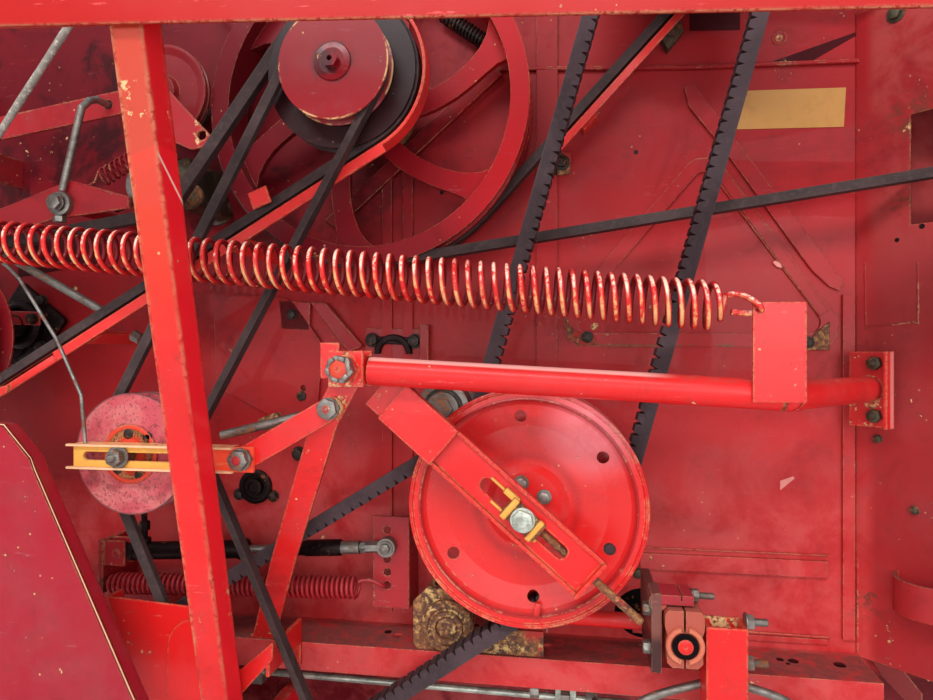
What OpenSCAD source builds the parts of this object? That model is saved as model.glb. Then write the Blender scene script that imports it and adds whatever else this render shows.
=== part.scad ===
// Belt drive side of a farm harvesting machine: wall, pulleys, belts, strut, arms and springs.
// Millimetres, +Z up, the viewer stands at -Y. The origin is the centre of the rear bolt pattern.

/* [Wall and rear frame] */
// Left edge of the wall sheet
wall_left_x = -870; // [-1000:10:-700]
// Right edge of the wall sheet
wall_right_x = 950; // [940:5:1100]
// Top edge of the wall sheet
wall_top_z = 640; // [560:10:760]
// Bottom edge of the wall sheet
wall_bottom_z = -700; // [-760:10:-680]
// Seam between the two wall sheets
seam_x = 126; // [60:2:180]
// Depth of the rear frame channels
frame_depth = 42; // [30:1:60]
// Width of the rear frame channels
frame_width = 60; // [40:2:80]
// Steel thickness of the rear frame
frame_steel = 5; // [3:0.5:8]
// Wall sheet thickness
sheet = 3; // [2:0.5:5]
// Bolt spacing across the rear frame
bolt_span_x = 1400; // [1200:20:1500]
// Bolt spacing up the rear frame
bolt_span_z = 1000; // [900:20:1100]
// Radius of the frame's bolt holes
bolt_hole_r = 7; // [5:0.5:9]
// Height of the pressed ribs on the wall
rib_height = 6; // [3:0.5:10]
// Width of the pressed ribs
rib_width = 16; // [10:1:30]
// Depth of the pressed tray under the sill
tray_depth = 8; // [4:1:14]

/* [Hatch and end panel] */
// Thickness of the hatch cover with its pressed edge
hatch_t = 4; // [2:0.5:8]
// Width of the two rails beside the hatch
rail_w = 14; // [8:1:24]
// X of the corner where the end panel leaves the wall
corner_x = 571; // [550:1:600]
// How far the slanting end panel runs along X and toward the front
panel_run = 130; // [90:5:170]
// Bottom of the end panel
panel_bottom_z = -440; // [-480:5:-400]
// Top of the end panel
panel_top_z = 484; // [440:2:488]
// Bottom of the belt window in the end panel
belt_window_z = 170; // [140:5:190]
// Height of the belt window in the end panel
belt_window_h = 150; // [150:5:260]
// Outer radius of the curved strap on the end panel
strap_r = 46; // [30:1:60]
// Height of the curved strap
strap_h = 46; // [30:1:60]

/* [Sill] */
// Top surface of the sill
sill_z = -438; // [-460:2:-420]
// Left end of the sill
sill_left_x = -560; // [-600:5:-500]
// Depth of the sill from the wall to its front
sill_depth = 90; // [80:2:94]
// Height of the sill's front lip
sill_lip = 42; // [20:1:50]
// Steel thickness of the sill and brackets
plate = 4; // [3:0.5:6]
// Radius of the rods under the sill
under_rod_r = 5; // [3:0.5:8]

/* [Front beam and post] */
// Height of the front beam
beam_h = 70; // [50:2:90]
// Depth of the front beam
beam_d = 46; // [40:2:80]
// Slope of the front beam in degrees
beam_slope = 2.9; // [0:0.1:6]
// Z of the beam's lower edge at X = 0
beam_z = 337; // [310:1:350]
// Front face of the beam
beam_front_y = -475; // [-520:5:-440]
// Wall thickness of beam and post
tube_wall = 4; // [2:0.5:6]
// Width of the leaning post
post_w = 36; // [28:1:50]
// X of the post's left side
post_x = -305; // [-340:1:-280]
// Lean of the post in degrees
post_lean = 12.46; // [8:0.02:16]
// Lower end of the post
post_foot_z = -528; // [-560:2:-500]

/* [Main shaft pulleys] */
// Main shaft X
main_x = -140; // [-160:1:-120]
// Main shaft Z
main_z = 371; // [350:1:390]
// Main shaft radius
main_shaft_r = 20; // [15:1:26]
// Front pulley flange radius
top_flange_r = 74; // [66:1:90]
// Outer radius of belt one on the front pulley
top_b1_r = 69; // [60:1:80]
// Outer radius of belt three on the rear groove
top_b3_r = 106; // [95:1:115]
// Outer radius of the big spoked wheel
wheel_r = 248; // [210:2:260]
// Width of the wheel's rim across the shaft
wheel_width = 62; // [56:2:64]
// Depth of the wheel's rim in the radial direction
wheel_rim = 31; // [20:1:45]
// Room between the wheel's rim and the guards' legs
wheel_clear = 10; // [6:1:20]
// Number of wheel spokes
spokes = 6; // [4:1:8]
// Spoke width
spoke_w = 38; // [20:1:44]
// Spoke thickness
spoke_t = 12; // [8:1:20]

/* [Other pulleys] */
// Small double pulley X
small_x = -423; // [-440:1:-415]
// Small double pulley Z
small_z = -140; // [-150:1:-130]
// Small pulley flange radius
small_flange_r = 82; // [74:1:84]
// Outer radius of belt one on the small pulley
small_b1_r = 66; // [60:1:72]
// Outer radius of belt two on the small pulley
small_b2_r = 76; // [62:1:78]
// Disc idler X
disc_x = 105; // [95:1:120]
// Disc idler Z
disc_z = -208; // [-220:1:-195]
// Disc idler rim radius
disc_r = 158; // [140:1:165]
// Outer radius of the cogged belt on the disc idler
disc_belt_r = 128; // [118:1:136]
// Upper cogged pulley X
upper_x = 336; // [310:1:340]
// Upper cogged pulley Z
upper_z = 583; // [570:1:600]
// Outer radius of the cogged belt on the upper pulley
upper_belt_r = 114; // [90:1:115]
// Outer radius of the rear belt on the upper shaft
upper_u_r = 46; // [32:1:50]
// Lower cogged pulley X
lower_x = -480; // [-510:5:-460]
// Lower cogged pulley Z
lower_z = -592; // [-610:2:-570]
// Outer radius of the cogged belt on the lower pulley
lower_belt_r = 152; // [120:1:156]
// Back idler X
back_x = -10; // [-20:1:0]
// Back idler Z
back_z = -80; // [-90:1:-70]
// Back idler radius
back_r = 36; // [28:1:40]
// Belt two lower pulley X
foot_x = -186; // [-195:1:-150]
// Belt two lower pulley Z
foot_z = -658; // [-670:1:-650]
// Outer radius of belt two on the lower pulley
foot_b2_r = 76; // [50:1:80]
// Left pulley X
left_x = -790; // [-800:2:-780]
// Left pulley Z
left_z = 20; // [0:1:40]
// Outer radius of belt three on the left pulley
left_b3_r = 124; // [110:1:130]
// Belt three idler X
guide_x = -420; // [-430:1:-410]
// Belt three idler Z
guide_z = 232; // [225:1:240]
// Belt three idler radius
guide_r = 34; // [26:1:40]
// Right pulley X
right_x = 800; // [790:1:830]
// Right pulley Z
right_z = 374; // [365:1:385]
// Outer radius of the wheel belt on the right pulley
right_b_r = 122; // [110:1:126]
// Upper-left disc X
side_x = -460; // [-470:1:-450]
// Upper-left disc Z
side_z = 397; // [390:1:410]
// Upper-left disc radius
side_r = 73; // [60:1:80]

// Open shaft end X
bear_x = -14; // [-30:1:-10]
// Open shaft end Z
bear_z = -400; // [-420:1:-390]
// Height of the wall bearings
house_h = 20; // [14:1:30]

/* [Belts] */
// Width of a narrow belt
thin_w = 17; // [13:1:20]
// Height of a narrow belt
thin_h = 11; // [8:1:14]
// Width of a wide belt
wide_w = 22; // [17:1:26]
// Height of a wide belt
wide_h = 14; // [10:1:17]
// Width of the cogged belt
cog_w = 44; // [36:1:50]
// Height of the cogged belt
cog_h = 20; // [16:1:24]
// Depth of the notches between the cogs
notch = 8; // [4:0.5:10]
// Cog pitch
cog_pitch = 15; // [12:0.5:20]
// Side angle of the V grooves
vee = 18; // [15:1:20]
// Gap between a belt and its pulley
belt_gap = 0.6; // [0.3:0.1:1]

/* [Strut, arms and leg] */
// Strut tube radius
strut_r = 17.5; // [14:0.5:22]
// Strut axis Y
strut_y = -285; // [-300:1:-270]
// Pivot X
pivot_x = -108; // [-120:1:-100]
// Pivot Z
pivot_z = -23; // [-34:1:-16]
// Pivot bolt radius
pivot_r = 10; // [8:0.5:14]
// X where the strut bends back
bend_x = 405; // [395:1:430]
// Z where the strut bends back
bend_z = -52; // [-60:1:-44]
// Width of the flag plate
flag_w = 56; // [40:1:70]
// Top of the flag plate
flag_top_z = 53; // [40:1:64]
// Width of the disc arm channel
arm_w = 56; // [44:1:64]
// Length of the disc arm from pivot to its end plate
arm_l = 392; // [370:2:410]
// Half width of the slots
slot_r = 9; // [6:0.5:12]
// Width of the pulley arm
ochre_w = 32; // [26:1:40]
// Left end of the pulley arm
ochre_x = -490; // [-500:1:-470]
// Right end of the pulley arm
ochre_end_x = -235; // [-240:1:-215]
// Front face of the pulley arm
ochre_y = -292; // [-300:1:-290]
// X of the bolt between pulley arm and link bar
link_x = -248; // [-252:1:-240]
// Z of the bolt between pulley arm and link bar
link_z = -138; // [-144:1:-132]
// Width of the support leg
leg_w = 36; // [28:1:46]
// Coil radius of the long spring
spring_r = 26; // [20:0.5:30]
// Wire radius of the long spring
wire_r = 3.8; // [2:0.1:4]
// Coil pitch of the long spring
coil_pitch = 16; // [12:0.5:22]
// Y of the long spring's axis
spring_y = -296; // [-298:1:-286]
// Coil radius of the lower spring
low_coil_r = 15; // [10:0.5:18]
// Length of the lower spring
low_spring_l = 430; // [380:5:450]

/* [Cylinder and small parts] */
// Cylinder barrel radius
barrel_r = 14; // [10:0.5:18]
// Cylinder rod radius
rod_r = 6; // [4:0.5:8]
// Cylinder axis Y
cyl_y = -115; // [-125:1:-105]
// Cylinder axis Z
cyl_z = -295; // [-305:1:-285]
// X of the barrel's pin
barrel_x = -548; // [-560:1:-530]
// Length from the barrel's pin to its front end
barrel_l = 215; // [190:5:230]
// Stroke of the rod
rod_stroke = 40; // [30:1:45]
// Radius of the sleeve on the rod
sleeve_r = 10; // [8:0.5:12]
// X of the rod's eye
eye_x = -110; // [-126:1:-100]
// Slope of the cylinder's axis in degrees, falling to the left
cyl_tilt = 3.5; // [0:0.1:5]
// Running gap between pins, shafts and their holes
run_gap = 0.4; // [0.2:0.1:0.8]
// Gap that seated pieces keep
seat = 0.3; // [0.1:0.1:0.5]

/* [Hidden] */
$fn = 48;
wall_y = -frame_depth - sheet;
top_y = -252;
mid_y = -226;
dark_y = -221;
cog_y = -172;
wheel_y = -99;
row_r_y = wheel_y - 16;
row_u_y = wheel_y + 15;
tv = tan(vee);
rib_y = wall_y - rib_height;
pin_z = cyl_z - (eye_x - barrel_x) * tan(cyl_tilt);

// Shapes that several pieces share
module face(y0, y1) {
  translate([0, y1, 0])
  rotate([90, 0, 0])
  linear_extrude(y1 - y0)
  children();
}
module turn(x, z) {
  translate([x, 0, z])
  rotate([90, 0, 0])
  rotate_extrude()
  children();
}
module disc_y(x, z, r, y0, y1, n = 48) {
  translate([x, y1, z])
  rotate([90, 0, 0])
  cylinder(r = r, h = y1 - y0, $fn = n);
}
module box(x0, x1, y0, y1, z0, z1) {
  translate([x0, y0, z0])
  cube([x1 - x0, y1 - y0, z1 - z0]);
}
module rod(p, q, r, n = 24) {
  d = q - p;
  l = norm(d);
  translate(p)
  rotate([0, acos(d[2] / l), atan2(d[1], d[0])])
  cylinder(r = r, h = l, $fn = n);
}
module wire(pts, r, n = 12) {
  for (i = [0:len(pts) - 2])
    rod(pts[i], pts[i + 1], r, n);
  for (i = [1:1:len(pts) - 2])
    translate(pts[i]) sphere(r + 0.2, $fn = n);
}
// A V pulley in half section: x is the radius and y is minus the world Y
module vee_half(y_mid, r_belt, w, h, r_out, side) {
  top = w / 2 + belt_gap + (r_out - r_belt) * tv;
  low_r = r_belt - h - 3;
  low = w / 2 + belt_gap - (h + 3) * tv;
  edge = top + side;
  polygon([[0, -y_mid - edge], [r_out, -y_mid - edge], [r_out, -y_mid - top], [low_r, -y_mid - low],
    [low_r, -y_mid + low], [r_out, -y_mid + top], [r_out, -y_mid + edge], [0, -y_mid + edge]]);
}

// Belt path: pulleys as [x, z, radius, turn], turn 1 inside the loop and -1 for a back idler
function leave(a, b) =
  let(dx = b[0] - a[0], dz = b[1] - a[1], l = norm([dx, dz]))
  atan2(dz, dx) - asin((b[3] * b[2] - a[3] * a[2]) / l);
function wrap(t, s) = s > 0 ? (t % 360 + 360) % 360 : -((-t % 360 + 360) % 360);
function arcs(p) = [for (i = [0:len(p) - 1])
  let(n = len(p), a = leave(p[(i + n - 1) % n], p[i]), b = leave(p[i], p[(i + 1) % n]))
  [p[i], a, wrap(b - a, p[i][3])]];
function at(c, a) = [c[0] + sin(a) * c[3] * c[2], c[1] - cos(a) * c[3] * c[2], a];
function path(p, step) = [for (q = arcs(p))
  let(k = max(2, ceil(abs(q[2]) / step)))
  for (j = [0:k]) at(q[0], q[1] + q[2] * j / k)];
function ring(s, y, w, h) =
  let(nx = -sin(s[2]), nz = cos(s[2]), i = w / 2 - h * tv)
  [[s[0], y - w / 2, s[1]], [s[0], y + w / 2, s[1]],
    [s[0] + nx * h, y + i, s[1] + nz * h], [s[0] + nx * h, y - i, s[1] + nz * h]];
module loop(rings) {
  n = len(rings);
  k = len(rings[0]);
  polyhedron([for (r = rings) for (v = r) v],
    [for (i = [0:n - 1]) for (j = [0:k - 1])
      let(a = i * k + j, b = i * k + (j + 1) % k, c = ((i + 1) % n) * k + (j + 1) % k, d = ((i + 1) % n) * k + j)
      each [[a, c, b], [a, d, c]]]);
}
module belt(p, y, w, h, step = 9) {
  loop([for (s = path(p, step)) ring(s, y, w, h)]);
}
// Helix with end turns, along +X from the origin
module coil(r, w, pitch, turns, seg, sides) {
  n = turns * seg;
  pts = [for (i = [0:n]) for (j = [0:sides - 1])
    let(a = i * 360 / seg, b = j * 360 / sides)
    [i * pitch / seg + w * sin(b), (r + w * cos(b)) * cos(a), (r + w * cos(b)) * sin(a)]];
  polyhedron(pts, concat(
    [[for (j = [0:sides - 1]) sides - 1 - j]],
    [[for (j = [0:sides - 1]) n * sides + j]],
    [for (i = [0:n - 1]) for (j = [0:sides - 1])
      let(a = i * sides + j, b = i * sides + (j + 1) % sides, c = a + sides, d = b + sides)
      each [[a, d, c], [a, b, d]]]));
}

main_p = [main_x, main_z];
belt_one = [[main_x, main_z, top_b1_r, 1], [small_x, small_z, small_b1_r, 1]];
belt_two = [[small_x, small_z, small_b2_r, 1], [foot_x, foot_z, foot_b2_r, 1]];
belt_three = [[main_x, main_z, top_b3_r, 1], [guide_x, guide_z, guide_r + seat, -1],
  [left_x, left_z, left_b3_r, 1]];
belt_right = [[main_x, main_z, wheel_r, 1], [right_x, right_z, right_b_r, 1]];
belt_up = [[main_x, main_z, wheel_r, 1], [upper_x, upper_z, upper_u_r, 1]];
belt_cog = [[upper_x, upper_z, upper_belt_r, 1], [back_x, back_z, back_r + seat, -1],
  [lower_x, lower_z, lower_belt_r, 1], [disc_x, disc_z, disc_belt_r, 1]];

// Shafts that turn in wall bearings: x, z, shaft radius, front end of the housing
shafts = [[main_x, main_z, main_shaft_r], [upper_x, upper_z, 17], [lower_x, lower_z, 20],
  [right_x, right_z, 20], [bear_x, bear_z, 16]];
all_shafts = concat(shafts, [[left_x, left_z, 15]]);
// Fixed pins that carry idlers: x, z, radius, front end
pins = [[back_x, back_z, 10, cog_y - cog_w / 2 - 1], [guide_x, guide_z, 10, dark_y - wide_w / 2 - 5],
  [foot_x, foot_z, 10, mid_y - thin_w / 2 - 6], [side_x, side_z, 10, -206]];

module wall_sheet(x0, x1) {
  face(wall_y, wall_y + sheet)
  difference() {
    translate([x0, wall_bottom_z])
    square([x1 - x0, wall_top_z - wall_bottom_z]);
    for (s = all_shafts)
      translate([s[0], s[1]]) circle(s[2] + 6);
    for (s = pins)
      translate([s[0], s[1]]) circle(s[2] + 0.2);
    for (h = [[-275, 268], [-137, 262]])
      translate(h) circle(6);
  }
}
module wall_left() {
  color("firebrick") wall_sheet(wall_left_x, seam_x - 0.2);
}
module wall_right() {
  color("firebrick") wall_sheet(seam_x + 0.2, wall_right_x);
}
module wall_ribs() {
  color("firebrick") {
    for (r = [[-128, main_z - 75], [-94, main_z - 75], [558, 80]])
      box(r[0] - rib_width / 2, r[0] + rib_width / 2, rib_y, wall_y, sill_z + 20, r[1]);
    for (z = [sill_z - 60, sill_z - 150])
      box(-345, 255, wall_y - tray_depth, wall_y, z - 12, z);
    box(seam_x - rib_width, seam_x + rib_width, wall_y - 2 * sheet, wall_y, sill_z + 20, wall_top_z - 30);
    box(266, 530, rib_y, wall_y, -330, -306);
    box(255, 530, wall_y - sheet, wall_y, -428, -420);
  }
}
// Channel along X, open to the front
module channel(l) {
  rotate([90, 0, 90])
  linear_extrude(l)
  polygon([[-frame_depth, -frame_width / 2], [0, -frame_width / 2], [0, frame_width / 2],
    [-frame_depth, frame_width / 2], [-frame_depth, frame_width / 2 - frame_steel],
    [-frame_steel, frame_width / 2 - frame_steel], [-frame_steel, -frame_width / 2 + frame_steel],
    [-frame_depth, -frame_width / 2 + frame_steel]]);
}
module rear_frame() {
  color("darkred")
  difference() {
    union() {
      for (s = [-1, 1]) {
        translate([wall_left_x + 10, 0, s * bolt_span_z / 2]) channel(wall_right_x - wall_left_x - 20);
        translate([s * bolt_span_x / 2, 0, wall_bottom_z + 10]) rotate([0, -90, 0])
          channel(wall_top_z - wall_bottom_z - 20);
      }
    }
    for (x = [-1, 1], z = [-1, 1])
      disc_y(x * bolt_span_x / 2, z * bolt_span_z / 2, bolt_hole_r, -frame_steel - 1, 1, 32);
    for (x = [-1, 1], z = [-1, 1])
      box(x * bolt_span_x / 2 - frame_width / 2 + frame_steel, x * bolt_span_x / 2 + frame_width / 2 - frame_steel,
        -frame_depth - 1, -frame_steel, z * bolt_span_z / 2 - frame_width / 2 + frame_steel,
        z * bolt_span_z / 2 + frame_width / 2 - frame_steel);
    for (s = all_shafts)
      disc_y(s[0], s[1], s[2] + 6, -frame_depth - 1, 1, 32);
  }
}
hatch_p = [[158, 6], [150, 62], [206, 128], [342, 286], [376, 286], [546, 44], [541, 4]];
module hatch_cover() {
  color("firebrick")
  face(wall_y - hatch_t, wall_y)
  difference() {
    offset(r = 24) offset(delta = -24)
      polygon(hatch_p);
    offset(r = 16) offset(delta = -36)
      polygon(hatch_p);
  }
}
module hatch_rails() {
  color("firebrick")
  face(rib_y, wall_y)
    polygon([[330, 392], [342, 398], [551, 97], [545, 86], [532, 92], [508, 116], [384, 300], [336, 364]]);
  color("firebrick")
    translate([372, wall_y, 276])
    rotate([0, 55.6, 0])
    translate([0, -rib_height, -rail_w / 2])
    cube([270, rib_height, rail_w]);
}
module guard_disc() {
  color("firebrick")
  face(wall_y - 8, wall_y - 0)
  difference() {
    offset(r = 34) offset(delta = -34)
      polygon([[-425, 60], [-395, 92], [-290, 84], [-236, 10], [-244, -100], [-300, -120], [-420, -60]]);
    for (h = [[-337, 66], [-268, -62]])
      translate(h) circle(5);
  }
}
module end_panel() {
  a = sqrt(2) * panel_run;
  color("firebrick")
  translate([corner_x, wall_y, 0])
  rotate([0, 0, -45])
  difference() {
    translate([0, -sheet, panel_bottom_z])
      cube([a + sheet / 2, sheet, panel_top_z - panel_bottom_z]);
    translate([a * 0.38, -sheet - 1, belt_window_z])
      cube([a * 0.54, sheet + 2, belt_window_h]);
  }
}
module end_flange() {
  x = corner_x + panel_run;
  y = wall_y - panel_run;
  color("firebrick") {
    box(x - 2, x + 31, y - sheet, y + 0.5, panel_bottom_z - 2, panel_top_z + 2);
    box(x + 30, x + 30 + sheet, y - sheet + 1, wall_y, panel_bottom_z, belt_window_z);
    box(x + 30, x + 30 + sheet, y - sheet + 1, wall_y - 105, belt_window_z - 1, panel_top_z);
  }
}
module end_strap() {
  color("red")
  translate([corner_x + panel_run / 2 + 2, wall_y - panel_run / 2 - sheet - 2, -350])
  rotate([0, 0, -45])
  difference() {
    cylinder(r = strap_r, h = strap_h);
    translate([0, 0, -1]) cylinder(r = strap_r - plate, h = strap_h + 2);
    translate([-strap_r - 1, 0, -1]) cube([2 * strap_r + 2, strap_r + 2, strap_h + 2]);
  }
}
module sill() {
  color("firebrick")
  difference() {
    union() {
      box(sill_left_x, corner_x - 2, wall_y - sill_depth, wall_y, sill_z - plate, sill_z);
      box(sill_left_x, corner_x - 2, wall_y - sill_depth, wall_y - sill_depth + plate,
        sill_z - sill_lip, sill_z);
    }
    for (x = [-100, 60, 130, 420])
      translate([x, wall_y - sill_depth / 2, sill_z - plate - 1]) cylinder(r = 7, h = plate + 2);
    box(bear_x - 60, bear_x + 60, wall_y - 30, wall_y + 1, sill_z - plate - 1, sill_z + 1);
  }
}
module under_rods() {
  color("silver") {
    for (z = [0, 16])
      rod([-350, wall_y - 40, sill_z - 58 - z], [250, wall_y - 44, sill_z - 60 - z], under_rod_r);
    box(140, 170, wall_y - 50, wall_y - 26, sill_z - 90, sill_z - plate);
    box(-340, -320, wall_y - 50, wall_y - 26, sill_z - 90, sill_z - plate);
  }
}
module tube_box(l, h, d) {
  difference() {
    cube([l, d, h]);
    translate([-1, tube_wall, tube_wall]) cube([l + 2, d - 2 * tube_wall, h - 2 * tube_wall]);
  }
}
function beam_low(x) = beam_z + 39 - (x + 0) * tan(beam_slope) - 39;
beam_x0 = wall_left_x - 2;
beam_x1 = wall_right_x + 2;
module top_beam() {
  color("red")
  translate([beam_x0, beam_front_y, beam_low(beam_x0)])
  rotate([0, beam_slope, 0])
  tube_box((beam_x1 - beam_x0) / cos(beam_slope), beam_h, beam_d);
}
module beam_arms() {
  color("red")
  for (x = [beam_x0, beam_x1 - 16]) {
    box(x + 6, x + 6 + plate, beam_front_y + beam_d, wall_y, beam_low(x) + 6, beam_low(x) + 58);
    box(x + 6, x + 10, wall_y - 30, wall_y, beam_low(x) + 58, beam_low(x) + 80);
  }
}
function post_front(z) = beam_front_y + 7 + (334 - z) * tan(post_lean);
post_top_z = beam_low(post_x + post_w) - 1;
module front_post() {
  color("orangered")
  intersection() {
    translate([post_x, post_front(post_foot_z), post_foot_z])
    rotate([post_lean, 0, 0])
    translate([0, 0, -20])
    difference() {
      cube([post_w, post_w, 1000]);
      translate([tube_wall, tube_wall, -1]) cube([post_w - 2 * tube_wall, post_w - 2 * tube_wall, 1002]);
    }
    box(post_x - 1, post_x + post_w + 1, -600, 0, post_foot_z, post_top_z);
  }
}
module post_foot() {
  y = post_front(post_foot_z);
  color("red") {
    box(post_x - 1, post_x + post_w + 1, y - 2, y + post_w + 3, post_foot_z - plate, post_foot_z + 1);
    box(post_x + post_w - 16, post_x + post_w, y + 2, wall_y, post_foot_z - 2 * plate, post_foot_z - plate);
    box(post_x + post_w - 10, post_x + post_w - 10 + plate, y + 4, wall_y, post_foot_z - 44, post_foot_z - 2 * plate);
  }
}

// Bearings on the wall
module bearings() {
  color("dimgray")
  for (s = shafts)
    difference() {
      turn(s[0], s[1])
      polygon([[s[2] + run_gap, 0 - wall_y - sheet - 14], [s[2] + 5.5, 0 - wall_y - sheet - 14], [s[2] + 5.5, 0 - wall_y],
        [s[2] + 38, -wall_y], [s[2] + 38, -wall_y + 7], [s[2] + 18, -wall_y + 9], [s[2] + 15, -wall_y + house_h],
        [s[2] + run_gap, -wall_y + house_h]]);
      for (a = [45:90:315])
        disc_y(s[0] + (s[2] + 28) * cos(a), s[1] + (s[2] + 28) * sin(a), 4, wall_y - 12, wall_y + 1, 24);
    }
}
// Housing of the open shaft end, carried out over the sill
module stub_housing() {
  front = wall_y - sill_depth + 5;
  color("saddlebrown")
  difference() {
    union() {
      face(front, front + 9)
      intersection() {
        translate([bear_x - 10, bear_z]) rotate(22.5) circle(56, $fn = 8);
        translate([bear_x - 52, sill_z + seat]) square([84, 90]);
      }
      face(front, front + 6)
        translate([bear_x + 30, sill_z + seat]) square([108, 36]);
      turn(bear_x, bear_z)
        polygon([[16 + run_gap, -wall_y + house_h - 0.5], [26, -wall_y + house_h - 0.5], [26, -front - 5], [38, -front - 5],
          [38, -front + 8], [34, -front + 12], [29, -front + 12], [27, -front + 9], [24, -front + 9],
          [23, -front + 14], [16 + run_gap, -front + 14]]);
    }
    disc_y(bear_x, bear_z, 16 + run_gap, front - 30, wall_y);
  }
}
module idler_pins() {
  color("gray")
  for (s = pins) {
    disc_y(s[0], s[1], s[2], s[3], wall_y + sheet + 6, 32);
    disc_y(s[0], s[1], s[2] + 14, wall_y - 8, wall_y, 32);
    disc_y(s[0], s[1], s[2] + 5, s[3] - 5, s[3], 6);
  }
}

// Main shaft body
module main_shaft() {
  color("gray") {
    disc_y(main_x, main_z, main_shaft_r, top_y - 6, wall_y + sheet + 12);
  }
}
module top_pulley() {
  color("crimson")
  difference() {
    union() {
      turn(main_x, main_z) vee_half(top_y, top_b1_r, thin_w, thin_h, top_flange_r, 3);
      turn(main_x, main_z) vee_half(dark_y, top_b3_r, wide_w, wide_h, top_b3_r - 4, 4);
      turn(main_x, main_z)
        polygon([[0, 200], [46, 200], [46, 240], [50, 240], [50, -top_y], [0, -top_y]]);
      turn(main_x, main_z)
        polygon([[0, 262], [64, 262], [62, 259.5], [50, 260.5], [26, 264], [24, 268], [17, 269], [0, 269]]);
      disc_y(main_x, main_z, 11, top_y - 26, top_y - 15, 6);
    }
    turn(main_x, main_z) square([main_shaft_r, 6 - top_y]);
    disc_y(main_x, main_z, 3.5, top_y - 40, top_y - 18, 24);
  }
}
function spoke_at(r, a, r0, r1) = let(t = a + 34 * pow((r - r0) / (r1 - r0), 0.8)) [r * cos(t), r * sin(t)];
// Half a spoke's width as an angle: waisted in the middle, spread into the rim
function spoke_half(t, ri) = spoke_w / 2 * (0.86 + 0.9 * pow(t, 9)) / (50 + (ri - 48) * t) * 57.3;
module big_wheel() {
  w = wheel_width / 2;
  r1 = wheel_r - 3;
  ri = wheel_r - wheel_rim;
  top = wide_w / 2 + belt_gap - 3 * tv;
  low = wide_w / 2 + belt_gap - (wide_h + 3) * tv;
  lr = wheel_r - wide_h - 3;
  color("red") {
    turn(main_x, main_z)
    difference() {
      translate([ri, -wheel_y - w]) square([r1 - ri, 2 * w]);
      for (y = [row_r_y, row_u_y])
        polygon([[r1 + 1, -y - top], [r1, -y - top], [lr, -y - low], [lr, -y + low], [r1, -y + top], [r1 + 1, -y + top]]);
    }
    translate([main_x, 0, main_z])
    face(wheel_y - spoke_t / 2, wheel_y + spoke_t / 2)
    for (i = [0:spokes - 1])
      let(a = i * 360 / spokes - 10, n = 10)
      polygon(concat(
        [for (k = [0:n]) spoke_at(50 + (ri - 48) * k / n, a - spoke_half(k / n, ri), 50, ri)],
        [for (k = [n:-1:0]) spoke_at(50 + (ri - 48) * k / n, a + spoke_half(k / n, ri), 50, ri)]));
    turn(main_x, main_z)
      polygon([[main_shaft_r, -wheel_y - 20], [58, -wheel_y - 20], [62, -wheel_y - 8], [62, -wheel_y + 8],
        [58, -wheel_y + 20], [main_shaft_r, -wheel_y + 20]]);
  }
}

// Turning pulleys
module small_pulley() {
  color("indianred")
  difference() {
    union() {
      turn(small_x, small_z) vee_half(top_y, small_b1_r, thin_w, thin_h, small_flange_r, 2);
      turn(small_x, small_z) vee_half(mid_y, small_b2_r, thin_w, thin_h, small_b2_r + 5, 3);
      turn(small_x, small_z)
        polygon([[0, 262], [42, 262], [40, 271], [0, 271]]);
    }
    turn(small_x, small_z) square([10 + run_gap, 400]);
    turn(small_x, small_z) translate([0, 205]) square([40, 16]);
  }
}
module disc_idler() {
  low_r = disc_belt_r - cog_h - 3;
  w = cog_w / 2 + belt_gap;
  low = w - (cog_h + 3) * tv;
  edge = w + (disc_r - disc_belt_r) * tv;
  color("red")
  difference() {
    turn(disc_x, disc_z)
      polygon([[10 + run_gap, -cog_y - 22], [26, -cog_y - 22], [low_r - 8, -cog_y - low - 4],
        [disc_r - 4, -cog_y - edge - 3], [disc_r, -cog_y - edge - 3], [disc_r, -cog_y - edge],
        [low_r, -cog_y - low], [low_r, -cog_y + low], [disc_r, -cog_y + edge], [disc_r, -cog_y + edge + 4],
        [disc_r - 4, -cog_y + edge + 4], [disc_r - 6, -cog_y + edge + 1.5], [disc_r - 14, -cog_y + edge + 1.5],
        [disc_r - 22, -cog_y + w + 4], [low_r + 2, -cog_y + low + 5], [56, -cog_y + low + 5], [46, -cog_y + low + 12],
        [10 + run_gap, -cog_y + low + 12]]);
    for (i = [0:5])
      disc_y(disc_x + (disc_r - 38) * cos(34 + 60 * i), disc_z + (disc_r - 38) * sin(34 + 60 * i), 8,
        cog_y - 60, cog_y - low + 1, 24);
  }
}
module upper_pulley() {
  color("crimson") {
    turn(upper_x, upper_z) vee_half(cog_y, upper_belt_r, cog_w, cog_h, upper_belt_r + 8, 4);
    turn(upper_x, upper_z) vee_half(row_u_y, upper_u_r, wide_w, wide_h, upper_u_r + 6, 1.5);
    disc_y(upper_x, upper_z, 17, cog_y - 45, wall_y + sheet + 12);
  }
}
module lower_pulley() {
  color("crimson") {
    turn(lower_x, lower_z)
    difference() {
      vee_half(cog_y, lower_belt_r, cog_w, cog_h, lower_belt_r + 8, 4);
      translate([45, -cog_y + 8]) square([lower_belt_r - cog_h - 60, 40]);
    }
    disc_y(lower_x, lower_z, 20, cog_y - 45, wall_y + sheet + 12);
  }
}
module back_idler() {
  w = cog_w / 2 - 4;
  color("gray")
  turn(back_x, back_z)
    polygon([[10 + run_gap, -cog_y - w], [back_r, -cog_y - w], [back_r, -cog_y + w], [back_r - 8, -cog_y + w],
      [back_r - 12, -cog_y + w - 5], [24, -cog_y + w - 5], [22, -cog_y + w + 4], [10 + run_gap, -cog_y + w + 4]]);
}
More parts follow.
